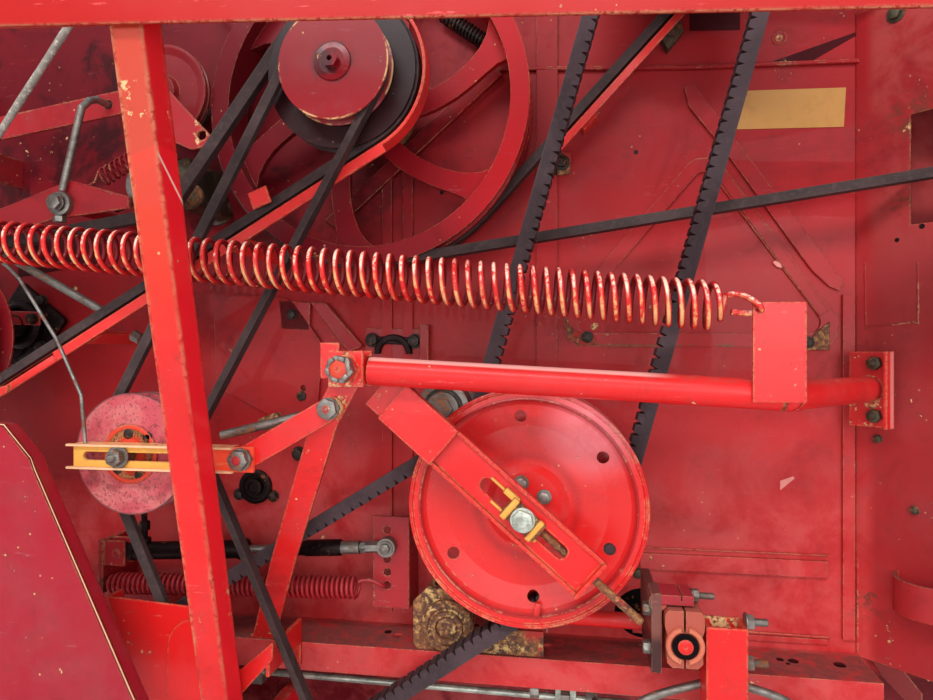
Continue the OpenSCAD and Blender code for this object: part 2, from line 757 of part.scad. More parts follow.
module foot_pulley() {
  color("crimson")
  turn(foot_x, foot_z)
  difference() {
    vee_half(mid_y, foot_b2_r, thin_w, thin_h, foot_b2_r + 6, 3);
    translate([-1, 0]) square([11 + run_gap, 400]);
  }
}
module left_pulley() {
  color("crimson") {
    turn(left_x, left_z) vee_half(dark_y, left_b3_r, wide_w, wide_h, left_b3_r + 6, 3);
    disc_y(left_x, left_z, 15, dark_y - 24, wall_y + sheet + 12);
  }
}
module guide_idler() {
  w = wide_w / 2 + 4;
  color("gray")
  turn(guide_x, guide_z)
    polygon([[10 + run_gap, -dark_y - w], [guide_r, -dark_y - w], [guide_r, -dark_y + w], [10 + run_gap, -dark_y + w]]);
}
module right_pulley() {
  color("crimson") {
    turn(right_x, right_z)
    difference() {
      vee_half(row_r_y, right_b_r, wide_w, wide_h, right_b_r + 6, 1.5);
      translate([48, -row_r_y + 6]) square([right_b_r - wide_h - 62, 40]);
    }
    disc_y(right_x, right_z, 20, row_r_y - 26, wall_y + sheet + 12);
  }
}
module side_disc() {
  color("crimson")
  turn(side_x, side_z)
    polygon([[10 + run_gap, 128], [side_r, 128], [side_r, 133], [side_r - 8, 136], [side_r, 139], [side_r, 144],
      [side_r - 4, 144], [side_r - 14, 140], [28, 140], [24, 150], [10 + run_gap, 150]]);
}
module bearing_stub() {
  color("sienna")
  turn(bear_x, bear_z)
    polygon([[0, 0 - wall_y - sheet - 12], [16, 0 - wall_y - sheet - 12], [16, sill_depth - wall_y + 3],
      [14, sill_depth - wall_y + 5], [6, sill_depth - wall_y + 5], [5, sill_depth - wall_y + 3], [0, sill_depth - wall_y + 3]]);
}

// Belts
module belt_1() {
  color("dimgray") belt(belt_one, top_y, thin_w, thin_h, 7.5);
}
module belt_2() {
  color("dimgray") belt(belt_two, mid_y, thin_w, thin_h, 7.5);
}
module belt_3() {
  color("black") belt(belt_three, dark_y, wide_w, wide_h);
}
module belt_r() {
  color("dimgray") belt(belt_right, row_r_y, wide_w, wide_h, 6);
}
module belt_u() {
  color("dimgray") belt(belt_up, row_u_y, wide_w, wide_h, 6);
}
// Cogged belt: stations by distance along the loop
cog_arcs = arcs(belt_cog);
function run_len(i) =
  let(n = len(cog_arcs), a = cog_arcs[i], b = cog_arcs[(i + 1) % n], p = at(a[0], a[1] + a[2]), q = at(b[0], b[1]))
  norm([q[0] - p[0], q[1] - p[1]]);
function arc_len(i) = abs(cog_arcs[i][2]) * PI / 180 * cog_arcs[i][0][2];
function total(i) = i < 0 ? 0 : total(i - 1) + arc_len(i) + run_len(i);
cog_len = total(len(cog_arcs) - 1);
cogs = round(cog_len / cog_pitch);
function station(s, i = 0) =
  let(a = cog_arcs[i], la = arc_len(i), lr = run_len(i), p = at(a[0], a[1] + a[2]))
  s <= la ? at(a[0], a[1] + a[2] * s / la)
    : (s <= la + lr || i == len(cog_arcs) - 1)
      ? [p[0] + cos(p[2]) * (s - la), p[1] + sin(p[2]) * (s - la), p[2]]
      : station(s - la - lr, i + 1);
module belt_cog() {
  u = cog_len / cogs;
  color("dimgray")
  loop([for (i = [0:cogs - 1]) for (k = [[0, cog_h], [0.62, cog_h], [0.81, cog_h - notch]])
    ring(station((i + k[0]) * u), cog_y, cog_w, k[1])]);
}

// Belt guard bar: hoop round the rear groove, then straight beside the lower strand
g_r = top_b3_r + 6;
g_dir = leave(belt_three[2], belt_three[0]);
// The guard's inner leg passes outside the wheel's rim
guard_leg_x = sqrt(pow(wheel_r + wheel_clear, 2) - pow(g_r + 4, 2)) + 30;
module belt_guard() {
  y0 = dark_y - 15;
  color("red")
  translate([main_x, 0, main_z]) {
    face(y0, dark_y + 13)
    intersection() {
      difference() {
        circle(g_r + 4, $fn = 96);
        circle(g_r, $fn = 96);
      }
      polygon([[0, 0], 400 * [cos(75), sin(75)], 400 * [cos(20), sin(20)], 400 * [cos(-20), sin(-20)],
        400 * [sin(g_dir), -cos(g_dir)]]);
    }
    rotate([0, -g_dir, 0])
    translate([-560, 0, -g_r - 4]) {
      translate([0, y0, 0]) cube([560, 28, 4]);
      translate([0, y0, -10]) cube([560, 4, 14]);
    }
    rotate([0, -g_dir, 0])
    for (x = [-520, -guard_leg_x])
      translate([x, dark_y + 9, -g_r - 8]) cube([30, wall_y - dark_y - 9, 4]);
  }
}
module guard_up() {
  a = leave(belt_up[0], belt_up[1]);
  color("red")
  translate([main_x, 0, main_z])
  rotate([0, -a, 0])
  translate([130, 0, -wheel_r - wheel_clear + 2]) {
    translate([0, row_u_y - 14, 0]) cube([300, 28, 3]);
    translate([0, row_u_y - 14, -8]) cube([300, 3, 11]);
    translate([60, row_u_y + 11, -8]) cube([30, wall_y - row_u_y - 11, 8.1]);
  }
}

// Strut, flag plate, flange, pivot
arm_a = atan2(pivot_z - disc_z, disc_x - pivot_x);
flange_p = [corner_x + 8, -78, -54];
module strut_tube() {
  b0 = [bend_x, strut_y, bend_z];
  e = [corner_x + 1, -86, -54];
  color("red") {
    difference() {
      union() {
        rod([pivot_x + 24, strut_y, pivot_z - 3], b0, strut_r, 32);
        translate(b0) sphere(strut_r + 0.4, $fn = 32);
        rod(b0, e, strut_r, 32);
      }
    }
  }
}
module flag_plate() {
  color("red")
  difference() {
    box(bend_x - 42, bend_x - 42 + flag_w, strut_y - strut_r - plate - seat, strut_y - strut_r - seat,
      bend_z - 6, flag_top_z);
    disc_y(bend_x - 35, flag_top_z - 8, 4, -400, -200, 24);
  }
}
module strut_flange() {
  color("red")
  translate([corner_x + 2, -86, -54])
  rotate([0, 0, -45])
  difference() {
    union() {
      translate([-26, -2.5 - plate, -52]) cube([56, plate, 104]);
      translate([30 - plate, -22 - 2.5, -52]) cube([plate, 22, 104]);
    }
    for (z = [-36, 36])
      translate([8, 0, z]) rotate([90, 0, 0]) cylinder(r = 6, h = 20, $fn = 24);
  }
}
module pivot_bolt() {
  color("gray") {
    disc_y(pivot_x, pivot_z, pivot_r, strut_y - 42, strut_y + 36, 32);
    disc_y(pivot_x, pivot_z, 17, strut_y - 34, strut_y - 22, 6);
    disc_y(pivot_x, pivot_z, 17, strut_y + 18, strut_y + 30, 6);
  }
}
module pivot_plates() {
  color("red")
  difference() {
    union() {
      box(pivot_x - 22, pivot_x + 22, strut_y - 22, strut_y - 18, pivot_z - 22, pivot_z + 22);
      box(pivot_x - 34, pivot_x - 10, strut_y - 17, strut_y - 11, pivot_z - 12, pivot_z + 32);
      box(pivot_x - 22, pivot_x + 22, strut_y + 13, strut_y + 17.7, pivot_z - 22, pivot_z + 22);
      box(pivot_x + 19, pivot_x + 22, strut_y - 22, strut_y + 17.7, pivot_z - 20, pivot_z + 16);
    }
    disc_y(pivot_x, pivot_z, pivot_r + 0.2, -400, -200, 32);
  }
}
module plate_between(p, q, w, t) {
  hull() {
    translate(p) translate([-w / 2, -t / 2, 0]) cube([w, t, 0.1]);
    translate(q) translate([-w / 2, -t / 2, 0]) cube([w, t, 0.1]);
  }
}
leg_y = strut_y + 6;
leg_bend = [-146, leg_y, -95];
leg_knee = [-233.5, cog_y - cog_w / 2 - 8, -290];
leg_foot = [-300, wall_y - sill_depth + 8, sill_z + 0.1];
module support_leg() {
  color("orangered")
  difference() {
    union() {
      hull() {
        translate(leg_bend) translate([-leg_w / 2, -2.5, 0]) cube([leg_w, 5, 0.1]);
        translate([pivot_x, leg_y, pivot_z]) rotate([90, 0, 0]) translate([0, 0, -2.5]) cylinder(r = leg_w / 2, h = 5);
      }
      plate_between(leg_foot, leg_knee, leg_w, 5);
      plate_between(leg_knee, leg_bend, leg_w, 5);
      box(leg_foot[0] - leg_w / 2 - 2, leg_foot[0] + leg_w / 2 + 2, leg_foot[1] - 4, leg_foot[1] + 30, sill_z, sill_z + 4);
    }
    disc_y(pivot_x, pivot_z, pivot_r + 0.2, -400, -200, 32);
    disc_y(-134, -73, 8.2, -400, -200, 24);
  }
}
// Slotted channel arm that carries the disc idler
module disc_arm() {
  color("orangered")
  translate([pivot_x, 0, pivot_z])
  rotate([0, arm_a, 0])
  difference() {
    union() {
      translate([38, strut_y + 25, -arm_w / 2]) cube([arm_l - 38, plate, arm_w]);
      for (s = [-1, 1])
        translate([64, strut_y + 18.2, s * (arm_w / 2 - plate / 2) - plate / 2]) cube([arm_l - 64, 10.8, plate]);
      translate([arm_l - plate, strut_y + 12, -arm_w / 2]) cube([plate, 17, arm_w]);
      translate([arm_l - plate, strut_y + 28, -12]) cube([plate, 18, 24]);
      translate([64, strut_y + 14.2, -arm_w / 2]) cube([88, plate + 0.1, arm_w]);
    }
    hull() for (x = [-60, 60])
      translate([norm([disc_x - pivot_x, disc_z - pivot_z]) + x, 0, 0]) rotate([90, 0, 0])
      translate([0, 0, 100]) cylinder(r = slot_r, h = 300, $fn = 32);
    translate([arm_l - 10, strut_y + 36, 0]) rotate([0, 90, 0]) cylinder(r = 4.9, h = 20, $fn = 24);
  }
}
module disc_axle() {
  y = strut_y + 25;
  color("goldenrod") {
    disc_y(disc_x, disc_z, 10, y + plate + 0.2, cog_y + 26, 32);
    disc_y(disc_x, disc_z, slot_r - 0.3, y - 4, y + plate + 0.2, 32);
    disc_y(disc_x, disc_z, 16, y + plate + 0.3, y + plate + 5, 32);
    translate([disc_x, y - 0.3, disc_z]) rotate([0, arm_a, 0]) translate([-26, -10, -13]) cube([52, 10, 26]);
    disc_y(disc_x, disc_z, 12, y - 19, y - 10, 6);
  }
}
module arm_rod() {
  d = [cos(arm_a), 0, -sin(arm_a)];
  a = [pivot_x, strut_y + 36, pivot_z];
  color("gray")
  rod(a + d * (norm([disc_x - pivot_x, disc_z - pivot_z]) + 27), a + d * (arm_l + 80), 4.6, 20);
}
// Split clamp: two jaws round a bush, and the block behind that holds the rod
clamp_x = 299;
clamp_z = -356;
bush_r = 15.5;
module jaw(side) {
  face(-252, -206)
  translate([clamp_x, clamp_z])
  scale([side, 1])
  difference() {
    offset(r = 3) offset(delta = -3)
      polygon([[-8, 41], [19, 41], [23, 35], [23, 20], [20, 10], [21, 0], [21, -22], [15, -28], [-8, -28]]);
    circle(bush_r + 0.3);
    translate([-20, -40]) square([21.2, 90]);
  }
}
module clamp_block() {
  color("indianred") {
    jaw(-1);
    jaw(1);
    difference() {
      union() {
        box(clamp_x - 38, clamp_x + 12, -242, -200, clamp_z + 44, clamp_z + 56);
        box(clamp_x - 38, clamp_x - 26, -242, -104, clamp_z - 40, clamp_z + 44.1);
        disc_y(clamp_x - 30, clamp_z + 46, 11, -240, -200, 32);
      }
      box(clamp_x - 3, clamp_x - 1.5, -260, -190, clamp_z + 49, clamp_z + 60);
    }
  }
}
module clamp_pin() {
  color("black") {
    turn(clamp_x, clamp_z)
      polygon([[0, 204], [bush_r, 204], [bush_r, 254.5], [bush_r - 1, 255.5], [9, 255.5], [9, 257.5], [0, 257.5]]);
  }
}
module clamp_post() {
  color("red")
  difference() {
    box(325, 373, -245, -205, -520, -335.3);
    box(329, 369, -241, -209, -521, -334);
  }
}
module clamp_foot() {
  color("red") {
    box(325, 373, -204.8, wall_y, -520, -514);
    box(325, 331, -204.8, wall_y, -514, -490);
    box(325, 373, wall_y - 6, wall_y, -560, -520);
  }
}
module cross_tube() {
  color("red")
  rod([100, -118, clamp_z - 25], [clamp_x - 38.2, -118, clamp_z - 27], 11, 24);
}
module cross_foot() {
  color("red") {
    box(90, 106, -130, wall_y, clamp_z - 38, clamp_z - 12);
  }
}

// Pulley arm with its slot, link bar and rods
module ochre_arm() {
  color("goldenrod")
  difference() {
    union() {
      box(ochre_x, ochre_end_x, ochre_y, ochre_y + plate, small_z - ochre_w / 2, small_z + ochre_w / 2);
      for (s = [-1, 1])
        box(ochre_x, ochre_end_x - 30, ochre_y, ochre_y + 20,
          small_z + s * (ochre_w / 2 - 1.5) - 1.5, small_z + s * (ochre_w / 2 - 1.5) + 1.5);
    }
    hull() for (x = [ochre_x + 20, small_x + 90])
      disc_y(x, small_z, 5.5, -400, -200, 24);
    disc_y(link_x, link_z, 8.2, -400, -200, 24);
  }
}
module ochre_axle() {
  color("gray") {
    disc_y(small_x, small_z, 10, ochre_y + plate + 0.2, mid_y + 14, 32);
    disc_y(small_x, small_z, 5.3, ochre_y - 8, ochre_y + plate + 0.2, 24);
    disc_y(small_x, small_z, 14, ochre_y - 3, ochre_y - 0.2, 32);
    disc_y(small_x, small_z, 9, ochre_y - 14, ochre_y - 3, 6);
  }
}
module link_bar() {
  a = [link_x, ochre_y + 13, link_z];
  b = [-134, ochre_y + 13, -73];
  color("red")
  difference() {
    hull() {
      disc_y(a[0], a[2], 15, ochre_y + plate + 0.2, ochre_y + plate + 6, 32);
      disc_y(b[0], b[2], 15, ochre_y + plate + 0.2, ochre_y + plate + 6, 32);
    }
    disc_y(a[0], a[2], 8.2, -400, -200, 24);
    disc_y(b[0], b[2], 8.2, -400, -200, 24);
  }
}
module arm_bolts() {
  color("silver") {
    disc_y(link_x, link_z, 8, ochre_y - 14, ochre_y + 26, 24);
    disc_y(link_x, link_z, 13, ochre_y - 10, ochre_y - 0.2, 6);
    disc_y(link_x, link_z, 13, ochre_y + 10.2, ochre_y + 20, 6);
    disc_y(-134, -73, 8, ochre_y - 6, leg_y + 12, 24);
    disc_y(-134, -73, 13, ochre_y - 4, ochre_y + 3.8, 6);
    disc_y(-134, -73, 13, leg_y + 2.7, leg_y + 11, 6);
  }
}
module flat_rod() {
  color("gray")
  rod([-290, leg_y + 8.6, -112], [-156, leg_y + 8.6, -79], 6, 20);
}

// Springs
spring_x1 = 330;
spring_turns = 72;
spring_x0 = spring_x1 - spring_turns * coil_pitch;
spring_z0 = 169;
spring_z1 = spring_z0 - 0.104 * spring_turns * coil_pitch;
module long_spring() {
  color("red") {
    translate([spring_x0, spring_y, 0])
    multmatrix([[1, 0, 0, 0], [0, 1, 0, 0], [-0.104, 0, 1, spring_z0]])
      coil(spring_r, wire_r, coil_pitch, spring_turns, 8, 4);
    wire([[spring_x1 - 2, spring_y + spring_r, spring_z1], [spring_x1 + 12, spring_y + 10, spring_z1],
      [bend_x - 39, spring_y + 7, flag_top_z - 8], [bend_x - 35, spring_y - 2, flag_top_z - 8],
      [bend_x - 35, strut_y - strut_r - plate - 8, flag_top_z - 8],
      [bend_x - 44, strut_y - strut_r - plate - 10, flag_top_z - 6]], wire_r);
    wire([[spring_x0 + 2, spring_y + spring_r, spring_z0], [spring_x0 - 10, spring_y + 6, spring_z0],
      [spring_x0 - 20, spring_y, spring_z0], [spring_x0 - 46, spring_y, spring_z0]], wire_r);
  }
}
module lower_spring() {
  color("firebrick")
{
    translate([low_x0, low_y, 0])
      multmatrix([[1, 0, 0, 0], [0, 1, 0, 0], [low_slope, 0, 1, low_z]])
      coil(low_coil_r, 2.6, 8, low_turns, 6, 4);
    wire([[low_x0 + 1, low_y + low_coil_r, low_z], [low_x0 - 8, low_y, low_z], [low_x0 - 30, low_y, low_z]], 2.6);
    wire([[low_x0 + low_turns * 8 - 1, low_y + low_coil_r, low_z + low_slope * low_turns * 8], [-140, low_y + 4, -357], [-119, low_y + 6, -356],
      [-115.1, low_y + 12, -356], [-115.1, cyl_y + 20, -356]], 2.6);
  }
}
low_x0 = barrel_x - 12;
low_y = wall_y - 78;
low_z = pin_z - 49;
low_slope = 0.037;
low_turns = floor((low_spring_l - 22) / 8);

// Cylinder
// A point on the cylinder's sloping axis
function cyl_at(x) = [x, cyl_y, cyl_z - (eye_x - x) * tan(cyl_tilt)];
module barrel() {
  color("black") {
    difference() {
      union() {
        rod(cyl_at(barrel_x + 20), cyl_at(barrel_x + barrel_l), barrel_r, 32);
        rod(cyl_at(barrel_x + 6), cyl_at(barrel_x + 21), 9, 24);
        disc_y(barrel_x, pin_z, 13, cyl_y - 8, cyl_y + 8, 32);
      }
      disc_y(barrel_x, pin_z, 6 + run_gap, cyl_y - 20, cyl_y + 20, 24);
      rod(cyl_at(barrel_x + 40), cyl_at(barrel_x + barrel_l + 20), rod_r + run_gap, 24);
    }
    rod(cyl_at(barrel_x + 34) + [0, 0, barrel_r - 2], cyl_at(barrel_x + 34) + [0, 0, 38], 5, 20);
  }
}
// The sleeve on the rod keeps clear of the barrel when the rod is in
module piston_rod() {
  color("silver") {
    rod(cyl_at(barrel_x + 130), cyl_at(eye_x - 11), rod_r, 24);
    rod(cyl_at(barrel_x + barrel_l + rod_stroke + 5), cyl_at(eye_x - 42), sleeve_r, 24);
    rod(cyl_at(eye_x - 34), cyl_at(eye_x - 12), 9, 6);
    difference() {
      disc_y(eye_x, cyl_z, 14, cyl_y - 8, cyl_y + 8, 32);
      disc_y(eye_x, cyl_z, 6, cyl_y - 9, cyl_y + 9, 24);
    }
  }
}
module cylinder_bracket() {
  color("red") {
    box(barrel_x - 30, barrel_x + 14, cyl_y - 13, cyl_y - 9, pin_z - 20, pin_z + 20);
    box(barrel_x - 30, barrel_x + 14, cyl_y + 9, cyl_y + 13, pin_z - 20, pin_z + 20);
    difference() {
      box(barrel_x - 30, barrel_x - 22, cyl_y - 16, wall_y, pin_z - 64, pin_z + 20);
      rod([barrel_x - 40, low_y, low_z], [barrel_x - 15, low_y, low_z], 2.9, 24);
    }
    disc_y(barrel_x, pin_z, 6, cyl_y - 16, cyl_y + 9, 24);
  }
}
module hole_bracket() {
  color("red")
  difference() {
    union() {
      box(-134, -78, cyl_y + 9, cyl_y + 13, -390, -252);
      box(-82, -78, cyl_y + 9, wall_y, -390, -252);
    }
    for (z = [-272, -316, -336, -356])
      disc_y(-112, z, 6, cyl_y + 8, cyl_y + 14, 24);
  }
}

// Left side pieces
module left_arm_bar() {
  color("red")
  translate([-478, -205, 362])
  rotate([0, -8, 0])
  difference() {
    translate([-330, 0, -17]) cube([352, 5, 34]);
    translate([-27, 0, 0]) rotate([90, 0, 0]) translate([0, 0, -10]) cylinder(r = 7, h = 20);
  }
}
module left_post() {
  color("darkred") {
    box(-800, -790, -200, wall_y, 284, 332);
  }
}
module taped_rod() {
  color("silver")
  wire([[-420, wall_y, 560], [-420, -275, 560], [-694, -275, 200],
    [-694, -246.5, 200], [-694, -246.5, 187]], 4.2, 20);
}
module bent_rod() {
  color("silver")
  wire([[-504.7, -198, 358], [-504.7, -228, 357], [-505.5, -243, 350], [-508, -254.6, 336], [-538, -254.6, 222]], 5, 20);
}
module lever_plate() {
  color("red")
  face(-249, -244)
  difference() {
    polygon([[-800, 150], [-530, 238], [-440, 212], [-440, 196], [-560, 184], [-790, 120]]);
    translate([-541, 204]) circle(9.2);
  }
}
module lever_pin() {
  color("gray") {
    disc_y(-541, 204, 9, -262, wall_y, 24);
    disc_y(-541, 204, 16, -258, -249.2, 24);
  }
}
module bracket_plate() {
  color("indianred")
  face(-200, -195)
  difference() {
    polygon([[-470, 420], [-414, 378], [-346, 306], [-352, 292], [-376, 288], [-470, 330]]);
    translate([-360, 308]) circle(7);
    translate([side_x, side_z]) circle(10.2);
  }
}
module flange_bearing() {
  color("black")
  difference() {
    union() {
      translate([left_x, wall_y - 12, left_z]) rotate([0, 20, 0]) translate([-46, 0, -46]) cube([92, 12, 92]);
      disc_y(left_x, left_z, 36, wall_y - 34, wall_y - 12);
      disc_y(left_x, left_z, 24, wall_y - 40, wall_y - 34);
    }
    disc_y(left_x, left_z, 15 + run_gap, wall_y - 60, wall_y + 1);
  }
}
module threaded_rod() {
  color("gray") wire([[-762, wall_y, 185], [-762, -195, 185], [-505, -195, 49.5]], 6, 20);
}
module cable() {
  color("lightgray") {
    wire([[-690, -251.8, 158], [-625, -254, 118], [-604, -256, 100], [-540, -262, 14], [-480, -290, -60],
      [-474, -290, small_z + ochre_w / 2 + 0.3]], 2.5);
  }
}
module sloping_guard() {
  color("red")
  face(-330, -325)
  polygon([[-870, -90], [-600, -90], [-560, -120], [-400, -420], [-386, -470], [-870, -470]]);
}
module guard_stay() {
  color("red") {
    difference() {
      box(-858, -848, spring_y - 12, wall_y, 156, 184);
      rod([-870, spring_y, spring_z0], [-840, spring_y, spring_z0], wire_r + 0.3, 24);
    }
    box(-860, -850, -325, wall_y, -300, -260);
    box(-860, -850, -325, wall_y, -460, -420);
  }
}
module box_bracket() {
  color("red") {
    face(-240.5, -238)
      polygon([[-481, -345], [-354, -352], [-354, -510], [-420, -510]]);
    face(-238.1, -212)
      polygon([[-481, -345], [-477, -345], [-416, -510], [-420, -510]]);
  }
}
module curved_bracket() {
  color("red") {
    face(-245.5, -241.5)
      polygon([[-386, -498], [-384, -404], [-381, -392], [-374, -381], [-364, -373], [-352, -368], [-338, -372],
        [-316, -400], [-300, -440], [-276, -430], [-231, -391], [-231, -414], [-276, -464], [-297, -498]]);
    box(-376, -360, -241.6, -240.4, -496, -460);
    box(-241, -236, -245, wall_y - sill_depth, -438, -402);
    box(-241, -236, wall_y - sill_depth - 6, wall_y - sill_depth, -470, -438.1);
  }
}

wall_left();
wall_right();
wall_ribs();
rear_frame();
union() {
  hatch_cover();
  hatch_rails();
}
guard_disc();
union() {
  end_panel();
  end_flange();
  end_strap();
}
sill();
under_rods();
union() {
  top_beam();
  beam_arms();
}
union() {
  front_post();
  post_foot();
}
union() {
  bearings();
  stub_housing();
}
idler_pins();
main_shaft();
top_pulley();
big_wheel();
small_pulley();
disc_idler();
upper_pulley();
lower_pulley();
back_idler();
foot_pulley();
left_pulley();
guide_idler();
right_pulley();
side_disc();
bearing_stub();
belt_1();
belt_2();
belt_3();
belt_r();
belt_u();
belt_cog();
belt_guard();
guard_up();
union() {
  strut_tube();
  strut_flange();
}
flag_plate();
union() {  // pivot
  pivot_plates();
  pivot_bolt();
}
support_leg();
disc_arm();
union() {
  disc_axle();
  arm_rod();
}
union() {
  clamp_block();
  clamp_pin();
}
union() {
  clamp_post();
  clamp_foot();
}
union() {
  cross_tube();
  cross_foot();
}
ochre_arm();
union() {
  ochre_axle();
  arm_bolts();
  flat_rod();
}
link_bar();
long_spring();
lower_spring();
barrel();
piston_rod();
union() {
  hole_bracket();
  cylinder_bracket();
}
union() {  // left_arm
  left_arm_bar();
  left_post();
}
union() {  // lever
  lever_plate();
  lever_pin();
}
union() {
  bracket_plate();
}
flange_bearing();
union() {  // grey_rods
  taped_rod();
  bent_rod();
  threaded_rod();
  cable();
}
union() {  // side_guard
  sloping_guard();
  guard_stay();
}
union() {
  box_bracket();
  curved_bracket();
}
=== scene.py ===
"""Looks of a farm machine's belt drive side: worn red paint, belts, springs, bolts and fittings."""

import math

import bpy
from bpy.props import FloatProperty, FloatVectorProperty, PointerProperty
from mathutils import Matrix, Vector


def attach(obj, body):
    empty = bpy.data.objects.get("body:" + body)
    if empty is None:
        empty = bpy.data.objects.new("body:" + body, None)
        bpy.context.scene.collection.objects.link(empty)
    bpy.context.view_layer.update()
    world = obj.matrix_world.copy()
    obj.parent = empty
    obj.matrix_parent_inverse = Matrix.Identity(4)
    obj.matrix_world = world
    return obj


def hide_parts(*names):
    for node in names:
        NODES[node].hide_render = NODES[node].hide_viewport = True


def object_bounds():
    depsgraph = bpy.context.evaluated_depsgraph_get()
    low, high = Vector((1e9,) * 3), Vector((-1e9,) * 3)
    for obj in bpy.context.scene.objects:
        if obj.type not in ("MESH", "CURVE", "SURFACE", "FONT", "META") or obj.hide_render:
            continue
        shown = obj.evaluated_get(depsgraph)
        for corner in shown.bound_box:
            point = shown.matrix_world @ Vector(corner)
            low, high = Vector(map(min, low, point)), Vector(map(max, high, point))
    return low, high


bl_info = {
    "name": "Belt drive side",
    "version": (1, 0, 0),
    "blender": (4, 5, 0),
    "location": "View3D > Sidebar > Belt drive",
    "description": "Dresses the belt drive side of a harvesting machine",
    "category": "Object",
}

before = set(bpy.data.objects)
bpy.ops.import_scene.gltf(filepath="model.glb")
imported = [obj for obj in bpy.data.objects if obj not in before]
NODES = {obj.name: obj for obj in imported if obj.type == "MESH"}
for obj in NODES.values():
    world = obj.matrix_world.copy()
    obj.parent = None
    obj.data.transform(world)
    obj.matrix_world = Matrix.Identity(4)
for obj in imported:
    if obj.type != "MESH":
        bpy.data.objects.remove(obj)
CAD_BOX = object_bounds()
MM = 0.001
FRONT = (0.0, -1.0, 0.0)
SLANT = (-1, -1, 0)
VIEW_TURN = math.radians(9)


def paint_tone(red, green, blue):
    """A colour written in 0 to 255 steps of a screen, as linear light."""
    out = []
    for value in (red, green, blue):
        c = value / 255
        out.append(c / 12.92 if c <= 0.04045 else ((c + 0.055) / 1.055) ** 2.4)
    return tuple(out)


def colour_prop(name, text, tone):
    return FloatVectorProperty(
        name=name, description=text, subtype="COLOR", size=3, min=0, max=1, default=paint_tone(*tone)
    )


def length_prop(name, text, value):
    return FloatProperty(
        name=name, description=text, default=value, min=0, subtype="DISTANCE", unit="LENGTH"
    )


class DrivePaint(bpy.types.PropertyGroup):
    """Colours of the paint, metal and rubber"""

    wall_red: colour_prop("Wall red", "Shaded red of the side wall", (198, 46, 48))
    front_red: colour_prop("Front red", "Bright red of beam, post, strut and arms", (230, 30, 30))
    # The pulleys' red is their paint set darker, as painted shade of the shaded upper part
    wheel_red: colour_prop("Wheel red", "Red of the pulleys", (150, 22, 32))
    disc_red: colour_prop("Disc red", "Glossy red of the disc idler", (222, 34, 32))
    back_red: colour_prop("Back red", "Deeper red of the arms at the left", (178, 34, 42))
    primer: colour_prop("Primer", "Cream primer under chipped paint", (232, 186, 132))
    rust: colour_prop("Rust", "Brown rust", (128, 74, 46))
    ochre: colour_prop("Ochre", "Yellow paint of the slotted arm", (236, 170, 72))
    rubber: colour_prop("Rubber", "Grey brown of the belts", (70, 52, 51))
    steel: colour_prop("Steel", "Bare steel", (150, 144, 136))
    label: colour_prop("Label", "Blank yellow label", (200, 142, 72))
    soot: colour_prop("Soot", "Greasy black", (46, 32, 32))


class DriveSizes(bpy.types.PropertyGroup):
    """Sizes of the fine pieces and of the view"""

    spring_wire: length_prop("Long spring wire", "Wire radius of the long spring", 0.0034)
    small_wire: length_prop("Lower spring wire", "Wire radius of the lower spring", 0.0026)
    front_edge: length_prop("Front edge", "Reach of wear on the edges of front parts", 0.0048)
    wall_edge: length_prop("Wall edge", "Reach of wear on the edges of the wall", 0.0022)
    eye_depth: length_prop("Camera distance", "Camera to the wall", 1.095)
    eye_side: length_prop("Camera side step", "Camera to the right of the middle", 0.166)


def paint():
    return bpy.context.scene.drive_paint


def sizes():
    return bpy.context.scene.drive_sizes


# Shader maths
class Value:
    """A socket that adds Math nodes when it is used in arithmetic"""

    def __init__(self, shade, socket):
        self.shade = shade
        self.socket = socket

    def math(self, operation, *others, swap=False):
        sockets = [self, *others]
        if swap:
            sockets.reverse()
        return self.shade.node("ShaderNodeMath", {"operation": operation}, dict(enumerate(sockets))).out(0)

    def __add__(self, other):
        return self.math("ADD", other)

    __radd__ = __add__

    def __sub__(self, other):
        return self.math("SUBTRACT", other)

    def __rsub__(self, other):
        return self.math("SUBTRACT", other, swap=True)

    def __mul__(self, other):
        return self.math("MULTIPLY", other)

    __rmul__ = __mul__

    def high(self, other):
        return self.math("MAXIMUM", other)

    def step(self, low, high):
        """0 below low, 1 above high and a soft step between."""
        sockets = {"Value": self, "From Min": low, "From Max": high}
        made = self.shade.node("ShaderNodeMapRange", {"interpolation_type": "SMOOTHSTEP"}, sockets)
        return made.out("Result")


class Made:
    """A node that was added, with its outputs as Values"""

    def __init__(self, shade, node):
        self.shade = shade
        self.node = node

    def out(self, key):
        return Value(self.shade, self.node.outputs[key])


